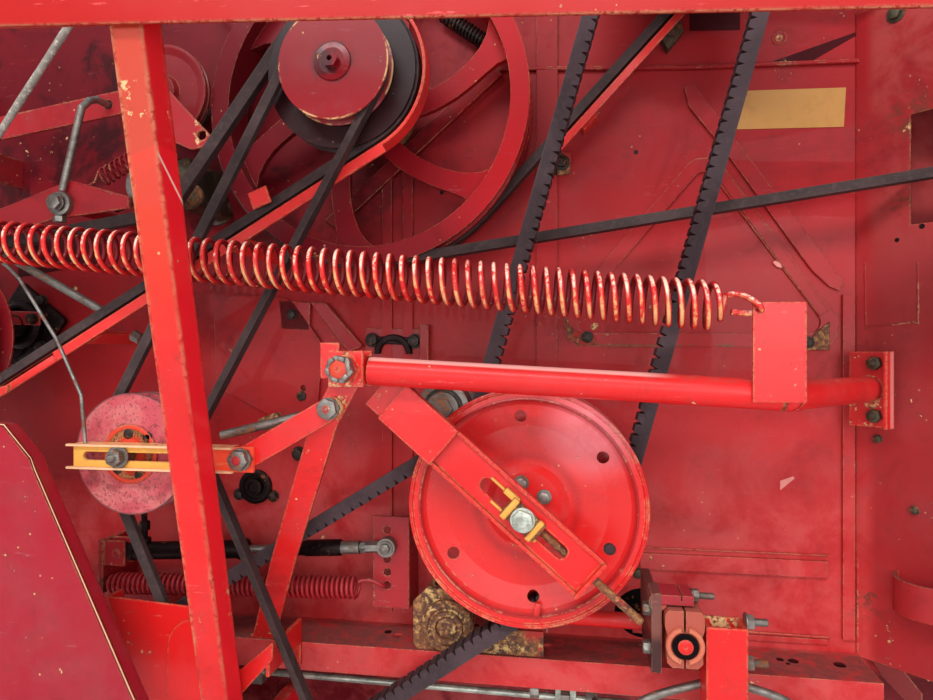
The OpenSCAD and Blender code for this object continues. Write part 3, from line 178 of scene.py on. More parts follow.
class Shade:
    """One material and the ways to build it"""

    def __init__(self, name):
        self.material = bpy.data.materials.new(name)
        self.material.use_nodes = True
        self.tree = self.material.node_tree
        self.tree.nodes.clear()
        self.place = self.node("ShaderNodeTexCoord").out("Object")

    def node(self, kind, settings=None, sockets=None):
        added = self.tree.nodes.new(kind)
        for key, value in (settings or {}).items():
            setattr(added, key, value)
        for key, value in (sockets or {}).items():
            if isinstance(value, Value):
                self.tree.links.new(value.socket, added.inputs[key])
            elif value is not None:
                spot = added.inputs[key]
                if spot.type == "RGBA" and len(value) == 3:
                    value = (*value, 1)
                spot.default_value = value
        return Made(self, added)

    def vector(self, operation, a, b):
        return self.node("ShaderNodeVectorMath", {"operation": operation}, {0: a, 1: b})

    def scaled(self, x, y, z):
        return self.vector("MULTIPLY", self.place, (x, y, z)).out(0)

    def noise(self, scale, detail=5.0, rough=0.6, place=None, warp=0.0):
        sockets = {"Scale": scale, "Detail": detail, "Roughness": rough, "Distortion": warp}
        return self.node("ShaderNodeTexNoise", None, {"Vector": place or self.place, **sockets}).out(0)

    def cells(self, scale):
        sockets = {"Vector": self.place, "Scale": scale}
        return self.node("ShaderNodeTexVoronoi", {"feature": "F1"}, sockets).out("Distance")

    def mix(self, share, a, b):
        return self.node("ShaderNodeMix", {"data_type": "RGBA"}, {0: share, 6: a, 7: b}).out(2)

    def normal(self):
        return self.node("ShaderNodeNewGeometry").out("Normal")

    def upward(self):
        return self.node("ShaderNodeSeparateXYZ", None, {0: self.normal()}).out("Z")

    def near(self, x, y, z, reach):
        """1 at a point given in millimetres, falling to 0 at its reach."""
        away = self.vector("DISTANCE", self.place, (x * MM, y * MM, z * MM)).out("Value")
        return 1 - away.step(reach * MM * 0.2, reach * MM)

    def axes(self):
        apart = self.node("ShaderNodeSeparateXYZ", None, {0: self.place})
        return apart.out("X"), apart.out("Y"), apart.out("Z")

    def facing(self, x, y, z):
        """How much the surface faces a direction."""
        return self.vector("DOT_PRODUCT", self.normal(), (x, y, z)).out("Value")

    def edge(self, radius):
        """How near a sharp edge is, with the rounded normal that goes with it."""
        rounded = self.node("ShaderNodeBevel", {"samples": 2}, {"Radius": radius}).out(0)
        return 1 - self.vector("DOT_PRODUCT", rounded, self.normal()).out("Value"), rounded

    def bump(self, height, strength, distance, normal=None):
        sockets = {"Height": height, "Strength": strength, "Distance": distance, "Normal": normal}
        return self.node("ShaderNodeBump", None, sockets).out(0)

    def finish(self, colour, roughness, normal, metallic=0.0, coat=0.0, specular=0.5):
        sockets = {
            "Base Color": colour,
            "Roughness": roughness,
            "Metallic": metallic,
            "Normal": normal,
            "Coat Weight": coat,
            "Specular IOR Level": specular,
        }
        surface = self.node("ShaderNodeBsdfPrincipled", None, sockets).out(0)
        self.node("ShaderNodeOutputMaterial", None, {"Surface": surface})
        return self.material


def mottle(patches, grain, share=0.5):
    """An uneven spread: coarse patches broken up by fine grain."""
    return patches * share + grain * (1 - share)


def squared(a, b):
    """The square of how far away a point is, from its two distances."""
    return a * a + b * b


def shaded(tone, share):
    return tuple(min(1, c * share) for c in tone)


def worn_paint(
    name,
    tone,
    chips=0.5,
    dust=0.5,
    gloss=0.3,
    haze=0.35,
    under=None,
    size=1.0,
    edge=0.0,
    spots=(),
    cover=None,
    shine=0.3,
):
    """Old sprayed paint: haze, dust, runs, scratches and chips down to primer and rust.

    Spots are worn places (x, y, z, reach, amount), and cover gives shares and colours laid over the paint.
    """
    s = Shade(name)
    tone = tuple(tone)
    deep = shaded(tone, 0.68)
    pale = tuple(min(1, c * 0.86 + 0.085) for c in tone)
    under = tuple(under or paint().primer)
    drift = s.noise(2.4, 3, 0.5)
    patches = s.noise(11 * size, 5, 0.62, warp=0.6)
    grain = s.noise(70 * size, 7, 0.7)
    flecks = s.noise(210 * size, 3, 0.6)
    runs = s.noise(9, 5, 0.65, place=s.scaled(7, 7, 0.7))
    scrape = s.noise(16, 4, 0.6, place=s.scaled(1.0, 5.0, 9.0), warp=0.3)
    colour = s.mix(drift.step(0.34, 0.68) * 0.6, tone, deep)
    colour = s.mix(mottle(drift, patches).step(0.46, 0.66) * haze, colour, pale)
    colour = s.mix(runs.step(0.56, 0.76) * 0.3, colour, deep)
    smears = s.noise(5 * size, 6, 0.68, warp=1.2)
    colour = s.mix(smears.step(0.5, 0.72) * 0.45 * dust, colour, paint_tone(150, 66, 60))
    colour = s.mix((1 - smears.step(0.3, 0.46)) * 0.5, colour, shaded(tone, 0.5))
    dirt = mottle(patches, grain).step(0.5, 0.66) * 0.5 * dust
    lying = s.upward().step(0.45, 0.9) * grain.step(0.3, 0.6) * dust
    colour = s.mix(dirt, colour, paint_tone(104, 44, 42))
    colour = s.mix(lying * 0.6, colour, paint_tone(150, 104, 92))
    for share, over in cover(s, grain, patches) if cover else ():
        colour = s.mix(share, colour, paint_tone(*over))
    scratch = scrape.step(0.64, 0.67) * grain.step(0.45, 0.6) * chips
    colour = s.mix(scratch * 0.7, colour, pale)
    wear = mottle(patches, grain) * 2.4 - 0.7
    rounded = None
    if edge:
        near_edge, rounded = s.edge(edge)
        wear = wear + near_edge * 1.05
    for x, y, z, reach, amount in spots:
        wear = wear + s.near(x, y, z, reach) * 0.22 * amount
    low = 0.87 - 0.08 * chips
    bare = wear.step(low, low + 0.03)
    flaked = flecks * 0.45 + grain * 0.35 + patches * 0.2
    flaked = flaked.step(0.655 - 0.035 * chips, 0.675 - 0.03 * chips)
    bare = bare.high(flaked * min(1, 1.2 * chips))
    dots = (1 - s.cells(58 * size).step(0.05, 0.11)) * patches.step(0.5, 0.58)
    bare = bare.high(dots * min(1, 1.5 * chips))
    colour = s.mix(bare, colour, s.mix(flecks.step(0.5, 0.62), under, tuple(paint().rust)))
    rough = gloss + patches * 0.14 + dirt * 0.5 + lying * 0.45 + bare * 0.3
    normal = s.bump(grain * 0.2 - bare * 0.8 - drift * 0.5, 0.35, 0.001, rounded)
    return s.finish(colour, rough, normal, coat=0.06, specular=shine)


def wall_shade_and_dirt(s, grain, patches):
    """Painted shade with real dirt: the wall is painted darker, deep at the upper left, soft at the far left
    and along the top, on the end panel and under the sill, and paler low down; rust blotches and ledge dust
    are real.
    """
    x, y, z = s.axes()
    # Painted shade: darker towards the top, most at the left, also at the far left and on the end panel
    high = z.step(-0.12, 0.36)
    left = 1 - x.step(-0.34, 0.16)
    far = (1 - x.step(-0.68, -0.4)) * 0.3
    share = (high * (left * 0.52 + 0.42)).high(far).high(x.step(0.58, 0.66) * 0.3)
    # Painted shade low down under the sill
    under = (1 - z.step(-0.472, -0.456)) * (1 - y.step(-0.04, -0.02)).high(0)
    share = share.high(under * y.step(-0.09, -0.07))
    stains = (s.noise(6, 4, 0.7, warp=0.8) * 0.6 + patches * 0.4).step(0.5, 0.6)
    panel = x.step(0.576, 0.59)
    blotch = s.near(621, -95, 320, 44).high(s.near(618, -92, 204, 44)).high(s.near(576, -50, -350, 50))
    ledge = s.upward().step(0.6, 0.9) * (1 - y.step(-0.06, -0.05))
    pale = panel * z.step(0.02, 0.3) * 0.3
    low_dust_and_light = (1 - z.step(-0.3, -0.12)) * (1 - panel) * mottle(patches, grain, 0.7).step(0.36, 0.6)
    return [
        (share * (0.75 + patches * 0.4), (92, 8, 22)),
        # Painted shade, deepened in stain-shaped blotches at the upper left
        (high * left * stains * 0.75, (40, 12, 16)),
        # Painted shade on the lower part of the end panel
        (panel * (1 - z.step(0.02, 0.3)) * 0.4, (124, 40, 42)),
        # Paler lower wall: dust, together with painted light standing in for the brighter light low down
        (low_dust_and_light * 0.34, (232, 104, 100)),
        (pale * (1 - patches.step(0.4, 0.62)), (186, 104, 98)),
        (blotch * mottle(patches, grain).step(0.49, 0.56) * 0.8, (112, 58, 44)),
        (ledge * mottle(patches, grain).step(0.36, 0.56) * 0.75, (104, 66, 62)),
    ]


def hatch_rust_and_shade(s, grain, patches):
    """The wall's painted shade, with rust along the hatch's lower edge."""
    _, _, z = s.axes()
    low = (1 - z.step(0.006, 0.011)) * mottle(patches, grain, 0.4).step(0.44, 0.52)
    return [*wall_shade_and_dirt(s, grain, patches), (low * 0.9, (128, 74, 50))]


def pulley_grease(s, grain, patches):
    """Black grease on the rear grooves of the top pulley, and a paint-bare front lip."""
    x, y, z = s.axes()
    p = squared(x + 0.14, z - 0.371)
    rear = y.step(-0.2405, -0.2395)
    lip = p.step(0.0712**2, 0.073**2) * (1 - rear) * mottle(patches, grain, 0.6).step(0.49, 0.56)
    ring = p.step(0.024**2, 0.026**2) * (1 - p.step(0.0262**2, 0.028**2)) * (1 - rear)
    hub = (1 - p.step(0.012**2, 0.034**2)) * mottle(patches, grain, 0.6).step(0.47, 0.54)
    return [
        (rear * p.step(0.058**2, 0.062**2) * 0.95, (26, 15, 17)),
        ((1 - p.step(0.0255**2, 0.0265**2)) * 0.6, (128, 18, 28)),
        (hub * 0.8, (64, 34, 38)),
        (lip * 0.85, (232, 184, 128)),
        (ring * grain.step(0.42, 0.52) * 0.8, (84, 50, 48)),
    ]


def wheel_shade(s, grain, patches):
    """The big wheel is painted darker at its left as shade, and a deeper red at its right."""
    x, _, _ = s.axes()
    left = 1 - (x + patches * 0.05).step(-0.2, -0.06)
    # Painted shade on the wheel's left; a deeper red on its right
    return [(left * 0.6, (84, 12, 24)), (x.step(-0.06, 0.08) * 0.65, (190, 16, 24))]


def speckled(s, grain, patches):
    """Sand-blasted face of the small pulley with dark pits and a dark rim."""
    x, _, z = s.axes()
    p = squared(x + 0.423, z + 0.14)
    pits = s.noise(330, 3, 0.7).step(0.57, 0.63)
    return [
        (patches.step(0.4, 0.62) * 0.5, (216, 128, 122)),
        (s.noise(40, 5, 0.7).step(0.52, 0.62) * 0.5, (120, 50, 52)),
        (pits * 0.8, (74, 44, 44)),
        (p.step(0.0795**2, 0.081**2) * 0.8, (92, 60, 58)),
    ]


def ochre_fade(s, grain, patches):
    """The yellow arm was overpainted orange-red towards its right end."""
    x, _, _ = s.axes()
    side = (x + patches * 0.03).step(-0.335, -0.3)
    flange = s.facing(0, 0, 1).math("ABSOLUTE").step(0.5, 0.9)
    return [
        (side * 0.92, (255, 70, 50)),
        (flange * grain.step(0.4, 0.5) * 0.8, (246, 190, 140)),
    ]


def beam_tone_and_painted_sun(s, grain, patches):
    """The beam's face is painted a deeper red; the strut tube has a painted highlight band along its top,
    and the flange a painted strip of sunlight on its edge.
    """
    x, y, z = s.axes()
    beam = (1 - y.step(-0.4742, -0.4738)) * z.step(0.2, 0.22)
    # Painted highlight band along the top of the strut tube
    tube = s.facing(0, -0.36, 0.93).step(0.9, 0.975) * z.step(-0.06, -0.05)
    tube = tube * (1 - z.step(0, 0.01)) * (1 - x.step(0.24, 0.29))
    # Painted strip of sunlight on the flange's edge
    strip = x.step(0.583, 0.586) * z.step(-0.118, -0.11) * (1 - z.step(0, 0.004))
    return [
        (beam * 0.95, (178, 18, 12)),
        (tube * 0.75, (255, 190, 180)),
        (strip * 0.6, (248, 160, 150)),
    ]


def post_tones_and_painted_light(s, grain, patches):
    """Painted light on the post: its front is painted darker and more orange towards the top and above a
    slanting shadow edge, its right face a brighter crimson for the light on it, with a thin painted line of
    sunlight down that face.
    """
    x, y, z = s.axes()
    side = s.facing(1, 0, 0).step(0.4, 0.7)
    # Painted shadow edge: the post is darker above this slanting line
    above = (z - x * 0.33).step(0.305, 0.309)
    # A thin painted line of sunlight runs down the right face
    off = (y * 0.68 + z * 0.733 + 0.1464).math("ABSOLUTE")
    line = (1 - off.step(0.001, 0.002)) * z.step(0.158, 0.162) * (1 - z.step(0.217, 0.22)) * side
    return [
        # Painted shade: the front darker and more orange towards the top
        (z.step(-0.05, 0.16) * (1 - side) * 0.75, (206, 62, 36)),
        (above * (1 - side) * 0.5, (180, 62, 34)),
        # The right face is painted its own brighter crimson, for the light on that face
        (side * 0.85, (255, 34, 48)),
        (above * side * 0.4, (206, 26, 28)),
        (line * 0.95, (255, 214, 196)),
    ]


def disc_painted_light_and_rim(s, grain, patches):
    """The disc has a painted highlight at its upper right, painted shade round the fold of its dish, and
    darker rings at its rim.
    """
    x, _, z = s.axes()
    p = squared(x - 0.105, z + 0.208)
    # Painted shade round the fold of the dish
    dish = p.step(0.058**2, 0.066**2) * (1 - p.step(0.066**2, 0.078**2))
    rim = p.step(0.138**2, 0.141**2) * (1 - p.step(0.1445**2, 0.147**2))
    return [
        # Painted highlight at the disc's upper right
        (s.near(190, -200, -104, 84) * (0.35 + grain * 0.4), (255, 150, 158)),
        (dish * 0.4, (150, 16, 22)),
        (rim * (0.3 + patches * 0.5), (136, 20, 26)),
    ]


def clamp_tones_and_shade(s, grain, patches):
    """The clamp's upper block is deep red, its left plate grey-brown and painted dark low down as shade."""
    x, _, z = s.axes()
    return [
        (z.step(-0.315, -0.312) * 0.9, (160, 26, 44)),
        ((1 - x.step(0.272, 0.2735)) * (0.5 + patches * 0.6), (96, 66, 60)),
        # Painted shade on the lower part of the left plate
        ((1 - x.step(0.272, 0.2735)) * (1 - z.step(-0.362, -0.345)) * 0.9, (56, 22, 24)),
    ]


def bracket_darker_low(s, grain, patches):
    """The curved bracket's folded face is painted darker low down at the left."""
    x, _, z = s.axes()
    low = (1 - z.step(-0.362, -0.358)) * (1 - x.step(-0.252, -0.248))
    return [(low * 0.5, (84, 30, 34))]


def crown_wear_and_painted_light(s, grain, patches):
    """The coils' crowns are rubbed down to cream with a painted highlight on them, their bellies worn cream,
    and their backs painted dark as shade.
    """
    _, y, _ = s.axes()
    ahead = 1 - y.step(-0.3, -0.29)
    crown = s.facing(-0.12, -0.75, 0.65).step(0.7, 0.95) * ahead
    belly = s.facing(-0.12, -0.8, -0.58).step(0.66, 0.95) * ahead
    # Painted shade: the coils' backs, facing away, are painted dark
    back = (1 - s.facing(0, -1, 0).step(-0.2, 0.45)).high(y.step(-0.3, -0.285))
    return [
        (back * 0.8, (80, 20, 26)),
        (mottle(patches, grain, 0.6).step(0.53, 0.6) * 0.6, (132, 44, 44)),
        # Crowns worn to cream, with a painted highlight on them
        (crown * mottle(patches, grain, 0.4).step(0.44, 0.52), (255, 216, 190)),
        (belly * mottle(patches, grain).step(0.45, 0.53) * 0.9, (232, 178, 116)),
    ]


def bare_metal(name, tone, rust=0.3, rough=0.36, painted=None):
    """Steel with grease, stains and rust; painted(s) says where it still is red."""
    s = Shade(name)
    tone = tuple(tone)
    patches = s.noise(28, 6, 0.65, warp=0.5)
    grain = s.noise(190, 6, 0.7)
    streaks = s.noise(60, 4, 0.6, place=s.scaled(1, 1, 7))
    rounded = s.edge(0.0012)[1]
    colour = s.mix(patches.step(0.36, 0.66), tone, shaded(tone, 0.45))
    colour = s.mix(streaks.step(0.5, 0.7) * 0.4, colour, shaded(tone, 1.5))
    rusty = mottle(patches, grain, 0.6).step(0.6 - 0.22 * rust, 0.68 - 0.16 * rust)
    bloom = s.mix(grain.step(0.4, 0.65), tuple(paint().rust), paint_tone(146, 88, 50))
    colour = s.mix(rusty, colour, bloom)
    metal = 0.85 - rusty * 0.85
    if painted:
        share = painted(s) * (1 - mottle(patches, grain).step(0.54, 0.6) * 0.8)
        colour = s.mix(share, colour, paint_tone(182, 52, 50))
        metal = metal * (1 - share)
    roughness = rough + patches * 0.2 + rusty * 0.35
    normal = s.bump(grain * 0.4 + rusty * 0.6, 0.4, 0.0006, rounded)
    return s.finish(colour, roughness, normal, metallic=metal)


def painted_middle(s):
    """The stretch of the grey rods that still is red."""
    x = s.axes()[0]
    return x.step(-0.31, -0.3) * (1 - x.step(-0.24, -0.23))


def belt_rubber(name, tone, dusty=0.6):
    """Cloth-wrapped rubber with frayed pale edges and field dust."""
    s = Shade(name)
    tone = tuple(tone)
    weave = s.noise(520, 2, 0.5)
    patches = s.noise(15, 5, 0.6, warp=0.4)
    grain = s.noise(120, 6, 0.7)
    near_edge, rounded = s.edge(0.0018)
    colour = s.mix(patches.step(0.3, 0.7), tone, shaded(tone, 0.5))
    colour = s.mix(grain.step(0.48, 0.68) * dusty, colour, tuple(min(1, c * 1.7 + 0.01) for c in tone))
    colour = s.mix(near_edge.step(0.01, 0.14) * 0.45, colour, paint_tone(128, 112, 108))
    normal = s.bump(weave * 0.6 + grain * 0.4, 0.45, 0.0007, rounded)
    return s.finish(colour, 0.62 + grain * 0.2, normal, specular=0.35)


def rough_rust(name, tone):
    """Thick brown rust with ochre blooms and leftover paint."""
    s = Shade(name)
    patches = s.noise(26, 6, 0.68, warp=0.8)
    grain = s.noise(150, 8, 0.75)
    rounded = s.edge(0.0015)[1]
    colour = s.mix(patches.step(0.35, 0.6), tuple(tone), paint_tone(84, 52, 40))
    colour = s.mix(grain.step(0.46, 0.62) * 0.8, colour, paint_tone(188, 132, 76))
    colour = s.mix(mottle(patches, grain).step(0.54, 0.6) * 0.9, colour, paint_tone(216, 176, 112))
    left_over = s.noise(14, 4, 0.6).step(0.55, 0.62) * grain.step(0.4, 0.5)
    colour = s.mix(left_over, colour, paint_tone(178, 44, 38))
    normal = s.bump(grain + patches * 0.6, 0.6, 0.0014, rounded)
    return s.finish(colour, 0.68 + grain * 0.2, normal)


# Mesh building
def angles(count):
    return [2 * math.pi * i / count for i in range(count)]


def turned(degrees):
    """A turn about the Y axis."""
    return Matrix.Rotation(math.radians(degrees), 3, "Y")


class Solid:
    """Points and faces of one piece, in millimetres"""

    def __init__(self):
        self.points = []
        self.faces = []

    def rings(self, rows, closed=False):
        """Joins rows of points of equal count into a skin."""
        base = len(self.points)
        count = len(rows[0])
        for row in rows:
            self.points.extend(Vector(p) for p in row)
        pairs = len(rows) if closed else len(rows) - 1
        for i in range(pairs):
            a = base + i * count
            b = base + (i + 1) % len(rows) * count
            for j in range(count):
                k = (j + 1) % count
                self.faces.append((a + j, a + k, b + k, b + j))
        if not closed:
            self.faces.append(tuple(base + j for j in reversed(range(count))))
            last = base + (len(rows) - 1) * count
            self.faces.append(tuple(last + j for j in range(count)))
        return self

    def slab(self, outline, y_back, y_front, chamfer=0.6):
        """A flat plate in the XZ plane with a chamfered front edge."""
        flat = [Vector((x, 0, z)) for x, z in outline]
        count = len(flat)
        inner = []
        for i, p in enumerate(flat):
            a = (p - flat[i - 1]).normalized()
            b = (flat[(i + 1) % count] - p).normalized()
            inward = Vector((-a.z, 0, a.x)) + Vector((-b.z, 0, b.x))
            if inward.length < 1e-6:
                inward = Vector((-a.z, 0, a.x))
            inner.append(p + inward.normalized() * chamfer)
        back = [p + Vector((0, y_back, 0)) for p in flat]
        rim = [p + Vector((0, y_front + chamfer, 0)) for p in flat]
        face = [p + Vector((0, y_front, 0)) for p in inner]
        return self.rings([back, rim, face])

    def fold(self, line, y_front, y_back, thick):
        """A flange folded back along a plate's edge, on the left of the line."""
        flat = [Vector((x, 0, z)) for x, z in line]
        rows = []
        for i, p in enumerate(flat):
            ahead = flat[min(i + 1, len(flat) - 1)] - flat[max(i - 1, 0)]
            side = Vector((-ahead.z, 0, ahead.x)).normalized() * thick
            ring = ((p, y_front), (p, y_back), (p + side, y_back), (p + side, y_front))
            rows.append([q + Vector((0, y, 0)) for q, y in ring])
        return self.rings(rows)

    def frame_of(self, axis):
        w = Vector(axis).normalized()
        side = Vector((0, 0, 1)) if abs(w.z) < 0.9 else Vector((1, 0, 0))
        u = side.cross(w).normalized()
        return u, w.cross(u), w

    def lathe(self, at, axis, profile, seg=32, radius=None):
        """Turns (radius, along) pairs about an axis; radius(angle, r) may shape each ring."""
        u, v, w = self.frame_of(axis)
        at = Vector(at)
        rows = []
        for r, t in profile:
            row = []
            for a in angles(seg):
                rr, tt = radius(a, r, t) if radius else (r, t)
                row.append(at + (u * math.cos(a) + v * math.sin(a)) * max(rr, 0.01) + w * tt)
            rows.append(row)
        return self.rings(rows)

    def hexagon(self, at, axis, flats, height, start=0.0, turn=0.0):
        """A hexagon head whose corners are turned off, as on a real bolt."""
        half = flats / 2
        turn = math.radians(turn)

        def shape(a, r, t):
            reach = half / math.cos((a + turn) % (math.pi / 3) - math.pi / 6)
            if r > 1.5:
                return half * 0.93, t
            drop = max(0.0, reach - half * 0.97) * 0.58 if t > start else 0.0
            return reach, t - drop

        rows = [(1, start), (1, start + height), (2, start + height + 0.2)]
        return self.lathe(at, axis, rows, 48, shape)

    def bolt(self, at, axis, flats, height, washer=0.0, turn=0.0, stud=0.0, stud_r=0.0):
        """Washer, hexagon and, for a nut, the threaded end of the stud."""
        t = 0.0
        if washer:
            rim = washer - 0.4
            self.lathe(at, axis, [(rim, 0), (washer, 0.3), (washer, 1.6), (rim, 2.0)], 32)
            t = 2.0
        self.hexagon(at, axis, flats, height, t, turn)
        if stud:
            self.thread(at, axis, stud_r or flats * 0.28, t + height, t + height + stud)
        else:
            self.lathe(at, axis, [(flats * 0.3, t + height), (flats * 0.28, t + height + 0.5)], 24)
        return self

    def bolts(self, spots, y, *head):
        """Like bolts on one plane, each turned a little differently."""
        for x, z in spots:
            self.bolt((x, y, z), FRONT, *head, turn=x)
        return self

    def thread(self, at, axis, radius, start, end, pitch=1.6):
        """A rod with thread ridges."""
        rows = []
        t = start
        while t < end - pitch:
            rows += [(radius * 0.87, t), (radius, t + pitch * 0.45), (radius, t + pitch * 0.55)]
            t += pitch
        rows += [(radius * 0.87, t), (radius * 0.7, end)]
        return self.lathe(at, axis, rows, 16)

    def tube(self, path, radius, sides=12):
        """A round wire along a list of points."""
        pts = [Vector(p) for p in path]
        count = len(pts)
        tangent = (pts[1] - pts[0]).normalized()
        u, v, _ = self.frame_of(tangent)
        rows = []
        for i, p in enumerate(pts):
            ahead = pts[min(i + 1, count - 1)] - pts[max(i - 1, 0)]
            now = ahead.normalized()
            turn = tangent.rotation_difference(now)
            u = turn @ u
            v = turn @ v
            tangent = now
            r = radius(i / (count - 1)) if callable(radius) else radius
            rows.append([p + (u * math.cos(a) + v * math.sin(a)) * r for a in angles(sides)])
        return self.rings(rows)

    def block(self, mid, half, chamfer, turn):
        """A box with chamfered edges, given by its middle and half sizes and turned about its middle."""
        mid, half = Vector(mid), Vector(half)
        rows = []
        for s, inset in ((-1, chamfer), (-1, 0), (1, 0), (1, chamfer)):
            y = s * (half.y if inset else half.y - chamfer)
            x, z = half.x - inset, half.z - inset
            p, q = x - chamfer, z - chamfer
            ring = [(-p, -z), (p, -z), (x, -q), (x, q), (p, z), (-p, z), (-x, q), (-x, -q)]
            rows.append([Vector((a, y, b)) for a, b in ring])
        rows = [[mid + turn @ p for p in row] for row in rows]
        return self.rings([list(reversed(row)) for row in rows])


def piece(name, solid, finish, body="bay", smooth=40.0):
    """Makes the object, rides it on its body and names its finish."""
    mesh = bpy.data.meshes.new(name)
    mesh.from_pydata([p * MM for p in solid.points], [], solid.faces)
    mesh.update()
    mesh.polygons.foreach_set("use_smooth", [True] * len(mesh.polygons))
    mesh.set_sharp_from_angle(angle=math.radians(smooth))
    obj = bpy.data.objects.new(name, mesh)
    bpy.context.scene.collection.objects.link(obj)
    obj.data.materials.append(FINISH[finish])
    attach(obj, body)
    return obj


def smooth_path(points, step=4.0):
    """A rounded line through the points."""
    pts = [Vector(p) for p in points]
    pts = [pts[0] * 2 - pts[1], *pts, pts[-1] * 2 - pts[-2]]
    out = []
    for i in range(1, len(pts) - 2):
        a, b, c, d = pts[i - 1 : i + 3]
        count = max(2, int((c - b).length / step))
        for k in range(count):
            t = k / count
            bend = (2 * a - 5 * b + 4 * c - d) * t * t + (3 * b - a - 3 * c + d) * t * t * t
            out.append(0.5 * (2 * b + (c - a) * t + bend))
    out.append(pts[-2])
    return out


def helix(low, top, across, radius, turns):
    """Points of a small coil, 14 to a turn."""
    path = []
    for i in range(turns * 14 + 1):
        t = i / (turns * 14)
        a = 2 * math.pi * turns * t
        path.append(low.lerp(top, t) + across * radius * math.cos(a) + Vector((0, radius * math.sin(a), 0)))
    return path


FINISH = {}
# Worn places: x, y, z, reach in millimetres, amount
WALL_WEAR = [
    (516, -48, 20, 34, 1.2),
    (183, -48, 30, 40, 1.0),
    (-285, -48, 60, 34, 0.7),
    (571, -48, -300, 70, 0.6),
    (571, -48, -400, 90, 0.6),
    (640, -115, 150, 60, 0.6),
    (652, -130, 300, 110, 0.6),
    (80, -48, -425, 60, 0.7),
    (350, -80, -438, 180, 0.4),
]
FRONT_WEAR = [
    (-108, -300, -23, 46, 0.8),
    (-118, -300, -66, 34, 0.8),
    (30, -262, -140, 60, 0.5),
    (150, -262, -250, 70, 0.6),
    (372, -312, 44, 20, 0.9),
    (352, -312, 52, 26, 0.8),
    (356, -228, -340, 50, 0.8),
    (262, -160, -370, 60, 0.9),
    (560, -100, -90, 30, 0.9),
    (-236, -240, 205, 40, 0.5),
    (-440, -240, -400, 60, 0.6),
    (-300, -262, -200, 60, 0.4),
]


